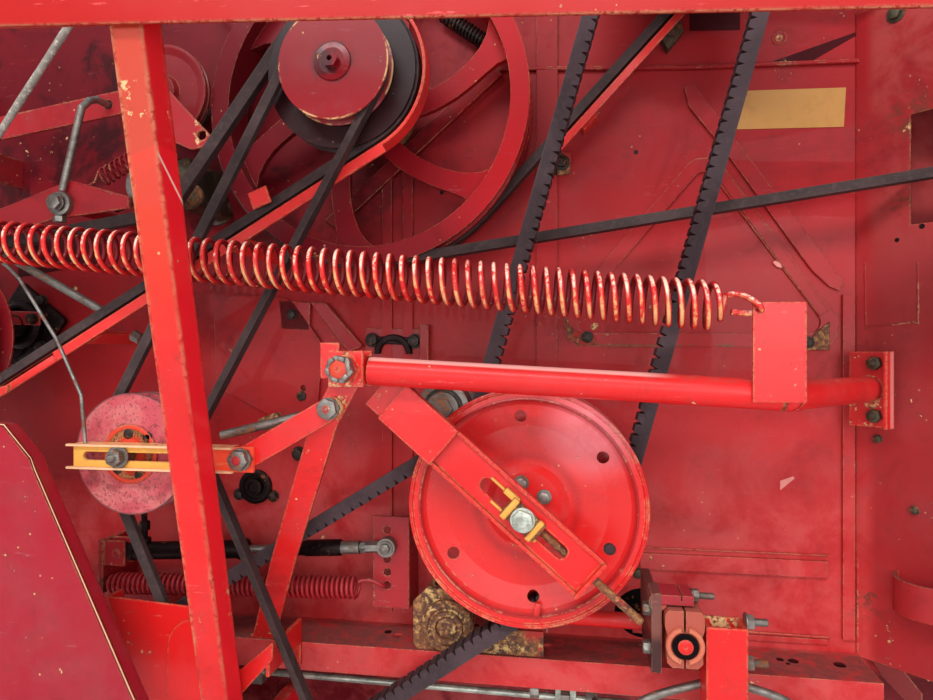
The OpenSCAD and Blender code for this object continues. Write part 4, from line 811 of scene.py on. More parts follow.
class DRIVE_OT_finishes(bpy.types.Operator):
    """Builds the paints and metals and gives them to the frame's parts"""

    bl_idname = "drive.finishes"
    bl_label = "Paint and metal"

    def execute(self, context):
        p = paint()
        front, wall = sizes().front_edge, sizes().wall_edge
        FINISH.update(
            wall=worn_paint(
                "wall_paint", p.wall_red, 0.24, 0.6, 0.34, 0.3, edge=wall, cover=wall_shade_and_dirt,
                spots=WALL_WEAR, shine=0.12,
            ),
            sideways=worn_paint(
                "side_guard_paint", paint_tone(172, 26, 44), 0.5, 0.5, 0.34, 0.25, edge=front, shine=0.2,
            ),
            flange=worn_paint(
                "flange_paint", paint_tone(248, 190, 144), 0.7, 0.3, 0.4, 0.2,
                under=paint_tone(206, 74, 60), size=2.0,
            ),
            hatch=worn_paint(
                "hatch_paint", p.wall_red, 0.5, 0.6, 0.32, 0.3, edge=wall * 1.5, cover=hatch_rust_and_shade,
                spots=WALL_WEAR, shine=0.14,
            ),
            post=worn_paint(
                "post_paint", p.front_red, 0.9, 0.3, 0.24, 0.2, size=0.7, edge=front * 1.7,
                spots=FRONT_WEAR, cover=post_tones_and_painted_light,
            ),
            front=worn_paint(
                "front_paint", p.front_red, 0.95, 0.35, 0.24, 0.2, edge=front, spots=FRONT_WEAR,
                cover=beam_tone_and_painted_sun,
            ),
            back=worn_paint(
                "back_paint", p.back_red, 0.6, 0.5, 0.34, 0.15, edge=front,
                spots=[(-357, -205, 312, 40, 1.4)], cover=bracket_darker_low,
            ),
            wheel=worn_paint("wheel_paint", p.wheel_red, 0.5, 0.4, 0.26, 0.2, edge=wall),
            disc=worn_paint(
                "disc_paint", p.disc_red, 0.45, 0.3, 0.2, 0.15, edge=wall, cover=disc_painted_light_and_rim, shine=0.36,
            ),
            tube=worn_paint("dusty_paint", paint_tone(128, 44, 44), 0.4, 0.6, 0.5, 0.3, edge=wall),
            guard=worn_paint("guard_paint", paint_tone(236, 50, 46), 0.7, 0.3, 0.3, 0.2, edge=front),
            spoked=worn_paint(
                "spoked_wheel_paint", p.wheel_red, 0.5, 0.2, 0.3, 0.05, edge=wall, cover=wheel_shade,
                shine=0.12,
            ),
            top=worn_paint("top_pulley_paint", p.wheel_red, 0.45, 0.4, 0.24, 0.3, cover=pulley_grease),
            spring=worn_paint("spring_paint", p.disc_red, 1.1, 0.2, 0.3, 0.3, size=1.8, cover=crown_wear_and_painted_light),
            coil=worn_paint("low_spring_paint", p.back_red, 1.0, 0.4, 0.34, 0.3, size=1.8),
            clamp=worn_paint(
                "clamp_paint", paint_tone(178, 82, 64), 0.5, 0.6, 0.4, edge=wall, cover=clamp_tones_and_shade,
            ),
            rib=worn_paint("clamp_rib_paint", paint_tone(214, 112, 84), 0.6, 0.4, 0.4, edge=wall),
            ochre=worn_paint(
                "ochre_paint", p.ochre, 0.9, 0.5, 0.4, 0.2, under=paint_tone(196, 60, 40), edge=wall,
                cover=ochre_fade,
            ),
            saddle=worn_paint(
                "saddle_paint", p.ochre, 1.3, 0.6, 0.45, 0.2, under=paint_tone(128, 84, 50), size=2.0,
                edge=wall,
            ),
            hub=worn_paint("hub_paint", paint_tone(224, 66, 40), 1.1, 0.6, 0.36, 0.2, size=2.0, edge=wall),
            dull=worn_paint(
                "dull_pulley_paint", paint_tone(200, 78, 88), 0.6, 0.5, 0.48, 0.3, size=2.0,
                cover=speckled,
            ),
            steel=bare_metal("bolt_steel", p.steel, 0.35),
            rods=bare_metal("rod_steel", p.steel, 0.35, painted=painted_middle),
            bright=bare_metal("plated_steel", paint_tone(206, 210, 196), 0.1, 0.3),
            dark=bare_metal("greasy_steel", paint_tone(74, 66, 62), 0.3, 0.42),
            black=bare_metal("black_iron", p.soot, 0.12, 0.38),
            void=bare_metal("dark_hollow", paint_tone(26, 16, 18), 0.1, 0.7),
            rusty=rough_rust("rust_crust", p.rust),
            belt=belt_rubber("belt_cloth", p.rubber, 0.45),
            cogs=belt_rubber("cog_rubber", paint_tone(72, 52, 56), 0.3),
            label=worn_paint("label_print", p.label, 0.2, 0.3, 0.42, 0.1),
            tape=belt_rubber("cloth_tape", paint_tone(176, 168, 156), 1.0),
            shade=worn_paint("shadow_paint", paint_tone(70, 14, 20), 0.1, 0.2, 0.6, 0.1, shine=0.1),
            olive=bare_metal("olive_iron", paint_tone(96, 90, 74), 0.5, 0.5),
            # Pale pink for the painted patches of sunlight
            chip=worn_paint("pale_chip", paint_tone(246, 150, 140), 0.1, 0.2, 0.5, 0.1),
        )
        given = {
            "wall": "wall_left wall_right wall_ribs rear_frame guard_disc end_panel sill",
            "hatch": "hatch_cover",
            "post": "front_post",
            "front": "top_beam strut_tube flag_plate pivot support_leg "
            "disc_arm clamp_post cross_tube link_bar box_bracket",
            "guard": "belt_guard guard_up",
            "sideways": "side_guard",
            "disc": "disc_idler",
            "back": "left_arm lever bracket_plate hole_bracket",
            "spoked": "big_wheel",
            "wheel": "upper_pulley lower_pulley foot_pulley left_pulley right_pulley side_disc",
            "top": "top_pulley",
            "dull": "small_pulley",
            "spring": "long_spring",
            "coil": "lower_spring",
            "clamp": "clamp_block",
            "ochre": "ochre_arm",
            "bright": "under_rods",
            "steel": "idler_pins main_shaft back_idler guide_idler ochre_axle piston_rod",
            "rods": "grey_rods",
            "rusty": "bearing_stub bearings disc_axle",
            "black": "flange_bearing barrel",
            "belt": "belt_1 belt_2 belt_3 belt_r belt_u",
            "cogs": "belt_cog",
        }
        for finish, names in given.items():
            for name in names.split():
                data = NODES[name].data
                data.materials.clear()
                data.materials.append(FINISH[finish])
        return {"FINISHED"}


class DRIVE_OT_springs(bpy.types.Operator):
    """Winds the two tension springs with their hooks"""

    bl_idname = "drive.springs"
    bl_label = "Tension springs"

    def seen(self, p):
        """How far right a point appears in the view."""
        side, ahead = p.x - sizes().eye_side / MM, p.y + sizes().eye_depth / MM
        cos, sin = math.cos(VIEW_TURN), math.sin(VIEW_TURN)
        return (side * cos + ahead * sin) / (ahead * cos - side * sin)

    def coil(self, start, end, radius, turns, lead_in, lead_out):
        """A coil whose turns look evenly spaced in the view and narrow toward both hooks."""
        start, end = Vector(start), Vector(end)
        count = int(turns * 22)
        path = []
        first, last = self.seen(start), self.seen(end)
        for i in range(count + 1):
            t = i / count
            centre = start.lerp(end, t)
            a = 2 * math.pi * turns * (self.seen(centre) - first) / (last - first)
            tight = min(1.0, 0.55 + min(t, 1 - t) * turns)
            path.append(centre + Vector((0, math.cos(a), math.sin(a))) * radius * tight)
        return [Vector(p) for p in lead_in] + path + [Vector(p) for p in lead_out]

    def execute(self, context):
        tail = smooth_path([(-868, -296, 169), (-846, -296, 169), (-830, -290, 170)])[:-1]
        hook = [(336, -297, 62), (350, -304, 62), (363, -311, 54), (370, -313.5, 46)]
        hook = smooth_path([*hook, (370, -304, 43.4), (362, -297, 41), (342, -297, 43)], 3)
        path = self.coil((-822, -296, 169), (330, -296, 49.2), 26, 66.75, tail, hook)
        solid = Solid().tube(path, sizes().spring_wire / MM, 10)
        long_one = piece("long_spring_wire", solid, "spring", smooth=60)
        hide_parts("long_spring")
        tail = [(-590, -123, -371), (-580, -123, -371), (-568, -122, -371)]
        hook = [(-148, -120, -346), (-134, -118, -346), (-119, -117, -352), (-115.1, -111, -356)]
        hook = smooth_path([*hook, (-115.1, -95, -356)], 3)
        path = self.coil((-560, -123, -371), (-152, -123, -356), 14.5, 50.25, tail, hook)
        solid = Solid().tube(path, sizes().small_wire / MM, 8)
        lower = piece("lower_spring_wire", solid, "coil", smooth=60)
        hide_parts("lower_spring")
        return {"FINISHED"}


# Bolts and nuts: x, face y, z, across flats, head height, washer radius, turn in degrees
WALL_BOLTS = [
    (149, -51, 287, 14, 7, 12, 10),
    (187, -51, 20, 13, 6, 9, 20),
    (502, -51, 11, 13, 6, 9, 5),
    (-287, -53, 58, 13, 6, 9, 12),
    (-271, -45, -75, 15, 9, 12, 40),
    (-279, -45, -170, 15, 9, 12, 20),
    (-383, -45, -240, 13, 6, 10, 30),
    (-323, -45, -241, 13, 6, 10, 0),
]
FRONT_BOLTS = [
    (-134, -296, -73, 23.2, 7.2, 14, 18),
    (-248, -302, -138, 23.6, 8, 14.6, 8),
]


class DRIVE_OT_bolts(bpy.types.Operator):
    """Sets bolts, nuts and washers on wall, strut, flange and arms"""

    bl_idname = "drive.bolts"
    bl_label = "Bolts and nuts"

    def execute(self, context):
        wall = Solid()
        for x, y, z, *head in WALL_BOLTS:
            wall.bolt((x, y, z), FRONT, *head)
        piece("wall_bolts", wall, "dark")
        front = Solid()
        for x, y, z, *head in FRONT_BOLTS:
            front.bolt((x, y, z), FRONT, *head)
        front.bolt((-108, -319, -23), FRONT, 30.4, 12.6, 0, 12)
        piece("front_bolts", front, "steel")
        caps = Solid()
        for at in ((-134, -304, -73), (-248, -311.4, -138)):
            caps.lathe(at, FRONT, [(6, 0), (6, 1.2), (5, 1.8), (1.6, 1.8), (0.1, 1.2)], 24)
        piece("bolt_caps", caps, "back")
        greasy = Solid()
        for z in (-18, -90):
            greasy.bolt((575.6, -94.8, z), SLANT, 17, 8, 13, 15, stud=4, stud_r=4.6)
        piece("flange_bolts", greasy, "olive")
        frame_bolts = Solid()
        for x in (-700, 700):
            for z in (-500, 500):
                frame_bolts.bolt((x, -5, z), FRONT, 19, 8, 12, 9)
                frame_bolts.lathe((x, -5, z), (0, 1, 0), [(6.4, 0), (6.4, 4.6), (6, 4.9)], 24)
        piece("frame_bolts", frame_bolts, "dark")
        return {"FINISHED"}


# The disc's slotted arm runs down to the right from the pivot
ARM_TURN = math.atan2(185, 213)
PIVOT = Vector((-108, 0, -23))
ALONG = Vector((math.cos(ARM_TURN), 0, -math.sin(ARM_TURN)))
ACROSS = Vector((math.sin(ARM_TURN), 0, math.cos(ARM_TURN)))
ARM_SPIN = Matrix.Rotation(ARM_TURN, 3, "Y")
# From the pivot to the disc's axle
REACH = 282.1


def on_arm(along, y, across=0.0):
    """A point on the disc's slotted arm."""
    p = PIVOT + ALONG * along + ACROSS * across
    return Vector((p.x, y, p.z))


class DRIVE_OT_tensioner(bpy.types.Operator):
    """Adds the disc's tensioner: yellow saddles, plated bolt, threads and end nut"""

    bl_idname = "drive.tensioner"
    bl_label = "Disc tensioner"

    def execute(self, context):
        saddles = Solid()
        for shift, width in ((-21, 8), (19, 7)):
            mid = on_arm(REACH + shift, -270.5)
            saddles.block(mid, (width / 2, 4.5, 15), 0.8, ARM_SPIN)
        for side, start, end in ((11.2, -62, -12), (-11.2, -44, 30)):
            mid = on_arm(REACH + (start + end) / 2, -261.5, side)
            saddles.block(mid, ((end - start) / 2, 1.6, 1.8), 0.5, ARM_SPIN)
        saddles.block(on_arm(REACH - 29, -266, 13), (11, 5, 4), 0.8, ARM_SPIN)
        piece("tensioner_saddles", saddles, "saddle")
        plated = Solid().bolt((105, -270.6, -208), FRONT, 24.4, 9, 15.5, turn=18)
        piece("tensioner_bolt", plated, "bright")
        rusty = Solid()
        rusty.thread(on_arm(REACH + 8, -249), ALONG, 5.4, 0, 76, 2.0)
        rusty.bolt(on_arm(385, -249), ALONG, 17, 8, 9, turn=10)
        rusty.tube([on_arm(a, -249) for a in (394, 430, 470)], 5.2, 14)
        piece("tensioner_thread", rusty, "rusty")
        return {"FINISHED"}


class DRIVE_OT_disc(bpy.types.Operator):
    """Adds the disc idler's bolts, rim clip and rim beads"""

    bl_idname = "drive.disc"
    bl_label = "Disc idler"

    def execute(self, context):
        bolts = Solid()
        for x, z in ((100, -176), (130, -194), (84, -226), (114, -240)):
            bolts.bolt((x - 2, -199, z), FRONT, 14, 8, 10, turn=x)
        piece("disc_bolts", bolts, "steel", "disc")
        beads = Solid()
        for r, y, w in ((156.6, -207.9, 1.7), (143.6, -205.6, 1.5)):
            rows = []
            for a in angles(128):
                out = Vector((math.cos(a), 0, math.sin(a)))
                mid = Vector((105, y, -208)) + out * r
                rows.append([mid + (out * math.cos(b) - Vector(FRONT) * math.sin(b)) * w for b in angles(8)])
            beads.rings(rows, closed=True)
        piece("disc_beads", beads, "disc", "disc")
        clip = Solid().block((119, -207, -342), (4, 5, 10), 1.2, turned(8))
        piece("disc_clip", clip, "disc", "disc")
        return {"FINISHED"}


class DRIVE_OT_small_pulley(bpy.types.Operator):
    """Adds the hub face and bolts of the small pulley and the bolt in its slotted arm"""

    bl_idname = "drive.small_pulley"
    bl_label = "Small pulley"

    def execute(self, context):
        ring = [(19, 270.9), (39.4, 270.9), (40, 271.2), (38.6, 271.8), (34.6, 271.8)]
        ring += [(33.6, 271.1), (19, 271.1)]
        hub = Solid().lathe((-423, 0, -140), FRONT, ring, 64)
        piece("small_hub", hub, "hub", "small")
        bolts = Solid().bolts([(-425, -113), (-397, -117), (-409, -168), (-441, -160)], -270.9, 14, 0.4)
        piece("small_bolts", bolts, "dark", "small")
        axle = Solid().bolt((-423, -294, -140), FRONT, 20, 10.4, 15, turn=20, stud=6, stud_r=5.6)
        piece("axle_nut", axle, "steel")
        flanges = Solid()
        for z in (-125.6, -155.6):
            low, top = z - 1.5, z + 1.5
            flanges.slab([(-497, low), (-262, low), (-262, top), (-497, top)], -291.9, -298, 0.4)
        piece("ochre_flanges", flanges, "flange")
        return {"FINISHED"}


class DRIVE_OT_clamp(bpy.types.Operator):
    """Adds the split clamp with its bush, bolts, studs and the rod behind it"""

    bl_idname = "drive.clamp"
    bl_label = "Split clamp"

    def rib(self, side):
        band = []
        for r, order in ((22.8, range(12, 169, 12)), (16.6, range(168, 11, -12))):
            for a in map(math.radians, order):
                band.append((299 + side * r * math.sin(a), -356 - r * math.cos(a)))
        return band if side > 0 else band[::-1]

    def execute(self, context):
        jaws = Solid()
        for side in (-1, 1):
            jaws.slab(self.rib(side), -251, -257, 1.6)
        piece("clamp_ribs", jaws, "rib")
        ring = [(9.4, 254), (15.4, 254), (15.4, 256), (14.6, 256.8), (9.4, 256.8)]
        bush = Solid().lathe((299, 0, -356), FRONT, ring, 40)
        piece("clamp_bush", bush, "void")
        ring = [(9, 255), (9, 258), (8, 258.8), (1.6, 258.8), (1.4, 257.6), (0.1, 257.4)]
        core = Solid().lathe((299, 0, -356), FRONT, ring, 40)
        piece("clamp_core", core, "front")
        fixings = Solid()
        for z in (-323, -371):
            fixings.bolt((261, -226, z), (-1, 0, 0), 15, 7, 9, turn=12)
        for z in (-332, -382):
            fixings.bolt((373, -228, z), (1, 0, 0), 17, 8, 11, turn=24, stud=17, stud_r=5)
        fixings.bolt((311, -220, -306), (1, 0, 0), 15, 7, 9, turn=5, stud=19, stud_r=4.4)
        piece("clamp_fixings", fixings, "steel")
        rod = [(196, -95, -506), (200, -130, -510), (214, -185, -496), (256, -200, -452), (317, -200, -428)]
        rod += [(348, -200, -420), (379, -200, -424), (427, -200, -438), (452, -180, -466)]
        rod += [(460, -136, -476)]
        piece("clamp_rod", Solid().tube(smooth_path(rod, 6), 5.4, 14), "steel")
        return {"FINISHED"}


class DRIVE_OT_wall(bpy.types.Operator):
    """Adds rusty plates, seams, brace, blank label, holes, weld lines, patches of painted shade and painted
    patches of sunlight to the wall
    """

    bl_idname = "drive.wall"
    bl_label = "Wall fittings"

    def rust(self):
        rusty = Solid()
        rusty.slab([(496, 0), (532, 0), (532, 41), (514, 26)], -49, -52, 0.5)
        rusty.slab([(153, 54), (158, 18), (176, 6), (205, 8), (196, 24), (168, 30)], -49, -52, 0.5)
        rusty.slab([(137, 268), (161, 270), (163, 303), (135, 305)], -45, -51, 1)
        piece("wall_rust_plates", rusty, "rusty")
        ring = [(14.6, 139), (14.8, 140.6), (13.6, 141.6), (7, 141.6), (6, 140.4), (0.1, 140.4)]
        stub = Solid().lathe((-14, 0, -400), FRONT, ring, 40)
        piece("stub_end", stub, "rusty", "stub")

    def seams(self):
        seam = Solid()
        seam.slab([(53, 435), (332, 419), (572, 413), (572, 419), (332, 425), (53, 441)], -45, -52, 1.4)
        seam.slab([(-232, 210), (-210, 194), (58, 428), (36, 441)], -45, -55, 2.2)
        seam.slab([(266, -299), (533, -299), (533, -297), (266, -297)], -45, -49, 0.7)
        seam.lathe((465, -45, 458), FRONT, [(11, 0), (10, 1.8), (7, 1.8), (5, 0.4), (0.1, 0.4)], 32)
        seam.slab([(240, -416), (533, -418), (533, -415), (240, -413)], -48, -50, 0.6)
        piece("wall_seams", seam, "wall")
        label = Solid().slab([(400, 327), (553, 323), (556, 380), (403, 384)], -45.1, -46, 0.3)
        piece("blank_label", label, "label")

    def marks(self):
        hollow = Solid()
        rim = [(275 + 47 * math.cos(a), -398 + 38 * math.sin(a)) for a in angles(36)]
        hollow.slab(rim, -45.1, -46.4, 1.2)
        piece("wall_hollow", hollow, "void")
        shade = Solid()
        shade.slab([(445, 421), (505, 419), (569, 454), (569, 459)], -45.1, -46, 0.2)
        shade.slab([(338, 478), (410, 474), (410, 504), (338, 508)], -45.1, -46, 0.2)
        shade.slab([(-800, 128), (-640, 150), (-620, 200), (-700, 214), (-800, 190)], -45.1, -46, 0.2)
        piece("wall_shades", shade, "shade")
        # Painted patches of sunlight, pale pink, on the wall and the hatch
        chip = Solid()
        chip.slab([(466, -192), (466, -206), (486, -188), (484, -185)], -45.1, -45.8, 0.2)
        chip.slab([(489, 156), (488, 146), (495, 146)], -49, -49.8, 0.1)
        chip.slab([(455, 128), (460, 122), (467, 120), (466, 126), (458, 131)], -49, -49.8, 0.1)
        piece("pale_chips", chip, "chip")

    def iron(self):
        dark = Solid()
        ring = [(28, 0), (28, 6), (25, 8), (20, 8), (19, 5), (15, 5), (14, 12), (9, 13), (8, 10), (0.1, 10)]
        dark.lathe((-353, -45, -226), FRONT, ring, 48)
        sill_holes = [(472, -86, 7), (455, -84, 5), (532, -88, 8), (462, -96, 3)]
        for x, y, r in (*sill_holes, (60, -78, 6), (-118, -80, 6)):
            dark.lathe((x, y, -437.9), (0, 0, 1), [(r, 0), (r * 0.9, 0.5)], 20)
        for x, z in ((260, 300), (-40, 250), (20, 120), (-170, 120)):
            dark.lathe((x, -45, z), FRONT, [(3.4, 0), (3.2, 0.6)], 16)
        for x, y, z, r in ((606.6, -84.9, 151.6, 3), (628.1, -106.3, 166, 3.6)):
            dark.lathe((x, y, z), SLANT, [(r, 0), (r * 0.9, 0.6)], 18)
        dull = Solid().slab([(286, 479), (305, 445), (328, 473), (322, 494), (299, 499)], -45, -60, 2)
        dull.lathe((309, -60, 474), FRONT, [(9, 0), (9, 4), (5, 5)], 24)
        dull.bolt((605.7, -84.0, 463.5), SLANT, 15, 7, 12)
        dull.bolt((622.2, -100.4, -216.2), SLANT, 9, 4, 6)
        dull.bolt((589.5, -67.8, -125), SLANT, 10, 4, 6)
        dull.bolt((263, -45, -338), FRONT, 12, 5, 8, turn=20)
        piece("wall_dull_iron", dull, "olive")
        piece("wall_dark_spots", dark, "black")

    def welds(self):
        weld = Solid()
        panel = [(577.4, -55.6, 125), (578.5, -56.7, 36), (582, -60, 33), (621, -99.2, 38)]
        panel += [(624.7, -103, 42), (624.7, -103, 118)]
        for path in (panel, [(571, -48, -300), (570.4, -48.6, -345), (571, -48, -435)]):
            weld.tube(smooth_path(path, 6), lambda t: 1.3 + 0.35 * math.sin(t * 190), 8)
        rows = []
        for a, z, top in ((1, -413, -375), (24, -459, -413), (44, -480, -442), (58, -480, -462)):
            x, near, far = 571 + a, -45.4 - a, -47.4 - a
            rows.append([(x, near, z), (x, far, z), (x, far, top), (x, near, top)])
        foot = Solid().rings(rows)
        piece("panel_foot_strip", foot, "tube")
        piece("wall_welds", weld, "wall")

    def spring(self):
        low, top = Vector((30, -60, 477)), Vector((-35, -60, 525))
        wound = Solid().tube([low, top], 3.4, 10)
        wound.tube(helix(low, top, Vector((0.594, 0, 0.804)), 11, 13), 1.7, 8)
        piece("wall_dark_spring", wound, "dark")

    def execute(self, context):
        self.rust()
        self.seams()
        self.marks()
        self.iron()
        self.welds()
        self.spring()
        return {"FINISHED"}


class DRIVE_OT_beam(bpy.types.Operator):
    """Lays the beam's front face over it, down to its lip"""

    bl_idname = "drive.beam"
    bl_label = "Beam face"

    def execute(self, context):
        face = Solid()
        # The lower edge goes through z 337.3 at x -423 and z 290 at x 406
        slope = -0.0569
        low_left, low_right = 337.3 - 446 * slope, 290 + 546 * slope
        face.slab([(-869, low_left), (952, low_right), (954, 357), (-867, 449)], -475, -478, 1.2)
        piece("beam_face", face, "front")
        return {"FINISHED"}


class DRIVE_OT_left_side(bpy.types.Operator):
    """Adds the taped rod, lever bolts, small spring, olive block and flange bearing on the left"""

    bl_idname = "drive.left_side"
    bl_label = "Left side fittings"

    def execute(self, context):
        top, foot = Vector((-420, -275, 560)), Vector((-694, -275, 200))
        tape = Solid()
        for start, end in ((0.2, 0.735), (0.762, 0.995)):
            path = [top.lerp(foot, start + (end - start) * i / 12) for i in range(13)]
            tape.tube(path, lambda t: 4.9 + 0.25 * math.sin(t * 60), 14)
        piece("tape_wrap", tape, "tape")
        band = Solid().tube([top.lerp(foot, t) for t in (0.735, 0.748, 0.762)], 5.5, 14)
        piece("tape_band", band, "wheel")
        pins = Solid()
        pins.bolt((-541, -262, 204), FRONT, 19, 6, 12, turn=14)
        pins.lathe((-541, -249.2, 204), FRONT, [(16.4, 0), (17, 0.6), (17, 9), (16, 9.6)], 36)
        pins.bolt((-541, -256, 186), (0, 0, -1), 15, 8, 0)
        pins.bolt((-477, -187, 22), (0.9, 0, -0.42), 15, 14, 0)
        piece("lever_bolts", pins, "steel")
        path = helix(Vector((-545, -166, 262)), Vector((-470, -166, 300)), Vector((-0.45, 0, 0.89)), 12, 9)
        path = [(-570, -166, 250), (-556, -166, 257), *path, (-462, -160, 304), (-455, -45, 306)]
        small = Solid().tube(path, 1.9, 8)
        small.tube([(-570, -170, 250), (-570, -150, 250), (-572, -45, 250)], 3, 10)
        piece("left_small_spring", small, "wheel")
        block = Solid()
        block.block((-415, -97.5, 253), (13, 52.5, 39), 3, turned(-14))
        block.lathe((-404, -150, 232), FRONT, [(19, 0), (19, 5), (15, 9), (7, 9)], 32)
        path = [(-404, -140, 232), (-450, -140, 240), (-500, -140, 236), (-542, -140, 222)]
        block.tube(smooth_path(path, 8), 8, 12)
        piece("olive_block", block, "olive")
        bearing = Solid()
        bearing.block((-764, -64, 42), (54, 8, 54), 4, turned(38))
        ring = [(40, 0), (40, 14), (34, 20), (30, 20), (28, 12), (22, 12), (20, 22), (15, 24)]
        ring += [(14, 20), (0.1, 20)]
        bearing.lathe((-764, -70, 42), FRONT, ring, 48)
        piece("flange_bearing_face", bearing, "black")
        nuts = Solid().bolts([(-728, 84), (-800, 0), (-730, 6)], -72, 15, 7, 10)
        nuts.bolt((-728, -93, 52), FRONT, 15, 7, 10, turn=10)
        piece("flange_bearing_nuts", nuts, "dark")
        strap = Solid().block((-773, -91, 54.5), (57, 2, 11.5), 0.8, turned(2))
        piece("flange_bearing_strap", strap, "back")
        return {"FINISHED"}


# The cylinder's axis rises to the right through the eye of its rod
EYE = Vector((-110, -115, -295))
SLOPE = Vector((math.cos(math.radians(3.5)), 0, math.sin(math.radians(3.5))))


def on_cylinder(x):
    """A point on the cylinder's sloping axis."""
    return EYE + SLOPE * ((x - EYE.x) / SLOPE.x)


class DRIVE_OT_cylinder(bpy.types.Operator):
    """Adds the cylinder's fitting, sleeve, hexagon, eye bolt and hose"""

    bl_idname = "drive.cylinder"
    bl_label = "Cylinder fittings"

    def execute(self, context):
        barrel = Solid()
        barrel.lathe(on_cylinder(-528), SLOPE, [(11, -2), (15.2, -1), (15.2, 5), (14.2, 6)], 36)
        barrel.lathe(on_cylinder(-346), SLOPE, [(14.2, 0), (16, 1), (16, 12), (13, 14), (8, 14.4)], 36)
        at = on_cylinder(-508)
        barrel.bolt(at + Vector((0, 0, 13)), (0, 0, 1), 17, 8, 0)
        barrel.bolt(at + Vector((0, 0, 33)), (0, 0, 1), 14, 14, 0)
        hose = ((0, 0, 20), (0, 0, 36), (-1, 0, 64), (-3, 6, 96), (-8, 40, 118), (-14, 69, 122))
        barrel.tube(smooth_path([at + Vector(p) for p in hose], 5), 4.6, 12)
        piece("barrel_fittings", barrel, "black", "barrel_body")
        steps = [(9, 0), (11, 1), (11, 48), (12.4, 50), (12.4, 105), (11, 107)]
        rod = Solid().lathe(on_cylinder(-287), SLOPE, steps, 36)
        piece("rod_sleeve", rod, "black", "rod_body")
        eye = Solid().bolt((-110, -123.4, -295), FRONT, 14, 6, 11)
        eye.hexagon(on_cylinder(-150), SLOPE, 16, 9)
        piece("eye_bolt", eye, "steel", "rod_body")
        return {"FINISHED"}


class DRIVE_OT_brackets(bpy.types.Operator):
    """Adds the bearing bracket by the pivot, the guard's tab and the pivot's end"""

    bl_idname = "drive.brackets"
    bl_label = "Brackets"

    def execute(self, context):
        plate = Solid()
        plate.slab([(-163, -24), (-60, -24), (-58, 33), (-165, 36)], -45, -50, 1.2)
        plate.slab([(-72, -24), (-58, -24), (-58, 40), (-72, 40)], -50, -62, 1.2)
        plate.slab([(-310, 82), (-306, 34), (-258, 32), (-256, 77)], -45, -53, 1.2)
        plate.slab([(-255, 78), (-190, -4), (-166, 6), (-228, 76)], -45, -58, 1.6)
        piece("wall_plates", plate, "back")
        bearing = Solid()
        arch = []
        for r, order in ((31, range(0, 181, 15)), (21, range(180, -1, -15))):
            arch += [(-117 + r * math.cos(a), -6 + r * math.sin(a)) for a in map(math.radians, order)]
        bearing.slab(arch, -45, -58, 1.6)
        bearing.slab([(-150, 10), (-84, 8), (-84, 20), (-150, 22)], -50, -56, 1.2)
        piece("bearing_bracket", bearing, "black")
        bolts = Solid().bolts([(-152, 16), (-83, 14)], -50, 17, 9, 12)
        piece("bearing_bracket_bolts", bolts, "dark")
        tie = Solid()
        for x, z in ((109, -504), (154, -509), (190, -507)):
            tie.hexagon((x - 6, -95, z), (1, 0, 0), 18, 13, turn=x)
        tie.tube([(109, -95, -504), (109, -95, -486)], 4, 12)
        tie.lathe((109, -95, -486), (0, 0, 1), [(5, 0), (7, 2), (7, 5), (4, 8)], 20)
        piece("tie_nuts", tie, "steel")
        link = Solid().hexagon((-262, -215, -104), (0.94, 0, 0.34), 17, 11, turn=10)
        link.block((-241, -215, -100), (9, 7, 12), 1.5, turned(-20))
        piece("link_nut", link, "rusty")
        tab = Solid().slab([(-262, 190), (-236, 200), (-244, 222), (-270, 212)], -236, -240, 0.8)
        piece("guard_tab", tab, "guard")
        strip = Solid()
        start = Vector((-570.5, 0, -4.2))
        run, out = Vector((-0.868, 0, -0.496)), Vector((0.496, 0, -0.868))
        for deep, y_back, tall in ((2, -208, 2), (7, -232, 7)):
            mid = start + run * 48 + out * deep + Vector((0, (y_back - 236) / 2, 0))
            strip.block(mid, (50, (y_back + 236) / 2, tall), 0.6, turned(-29.75))
        strip.slab([(-660, -72), (-640, -62), (-637, -50), (-656, -54)], -236, -240, 0.8)
        piece("belt_guard_end", strip, "guard")
        edge = Solid()
        line = [(-354, -470), (-378, -423), (-511, -153), (-517, -138), (-556, -96), (-602, -93)]
        edge.slab([(-868, -470), *line, (-868, -93)], -330, -333, 0.5)
        edge.fold(line, -333, -311, 2.5)
        rub = Solid().tube([(x, -333.2, z) for x, z in line], lambda t: 0.7 + 0.25 * math.sin(t * 260), 8)
        piece("side_guard_rub", rub, "flange")
        piece("side_guard_edge", edge, "sideways")
        ring = [(11.2, 0), (11.2, 2), (9.4, 3.4), (3, 3.6), (2, 2.2), (0.1, 2.2)]
        end = Solid().lathe((-108, -332, -23), FRONT, ring, 32)
        crown = Solid()
        for i in range(6):
            a = math.radians(60 * i + 12)
            mid = Vector((-108 + 13 * math.cos(a), -334, -23 + 13 * math.sin(a)))
            crown.block(mid, (2.6, 2.6, 4.2), 0.5, Matrix.Rotation(-a, 3, "Y"))
        piece("pivot_crown", crown, "steel")
        piece("pivot_end", end, "hub")
        return {"FINISHED"}


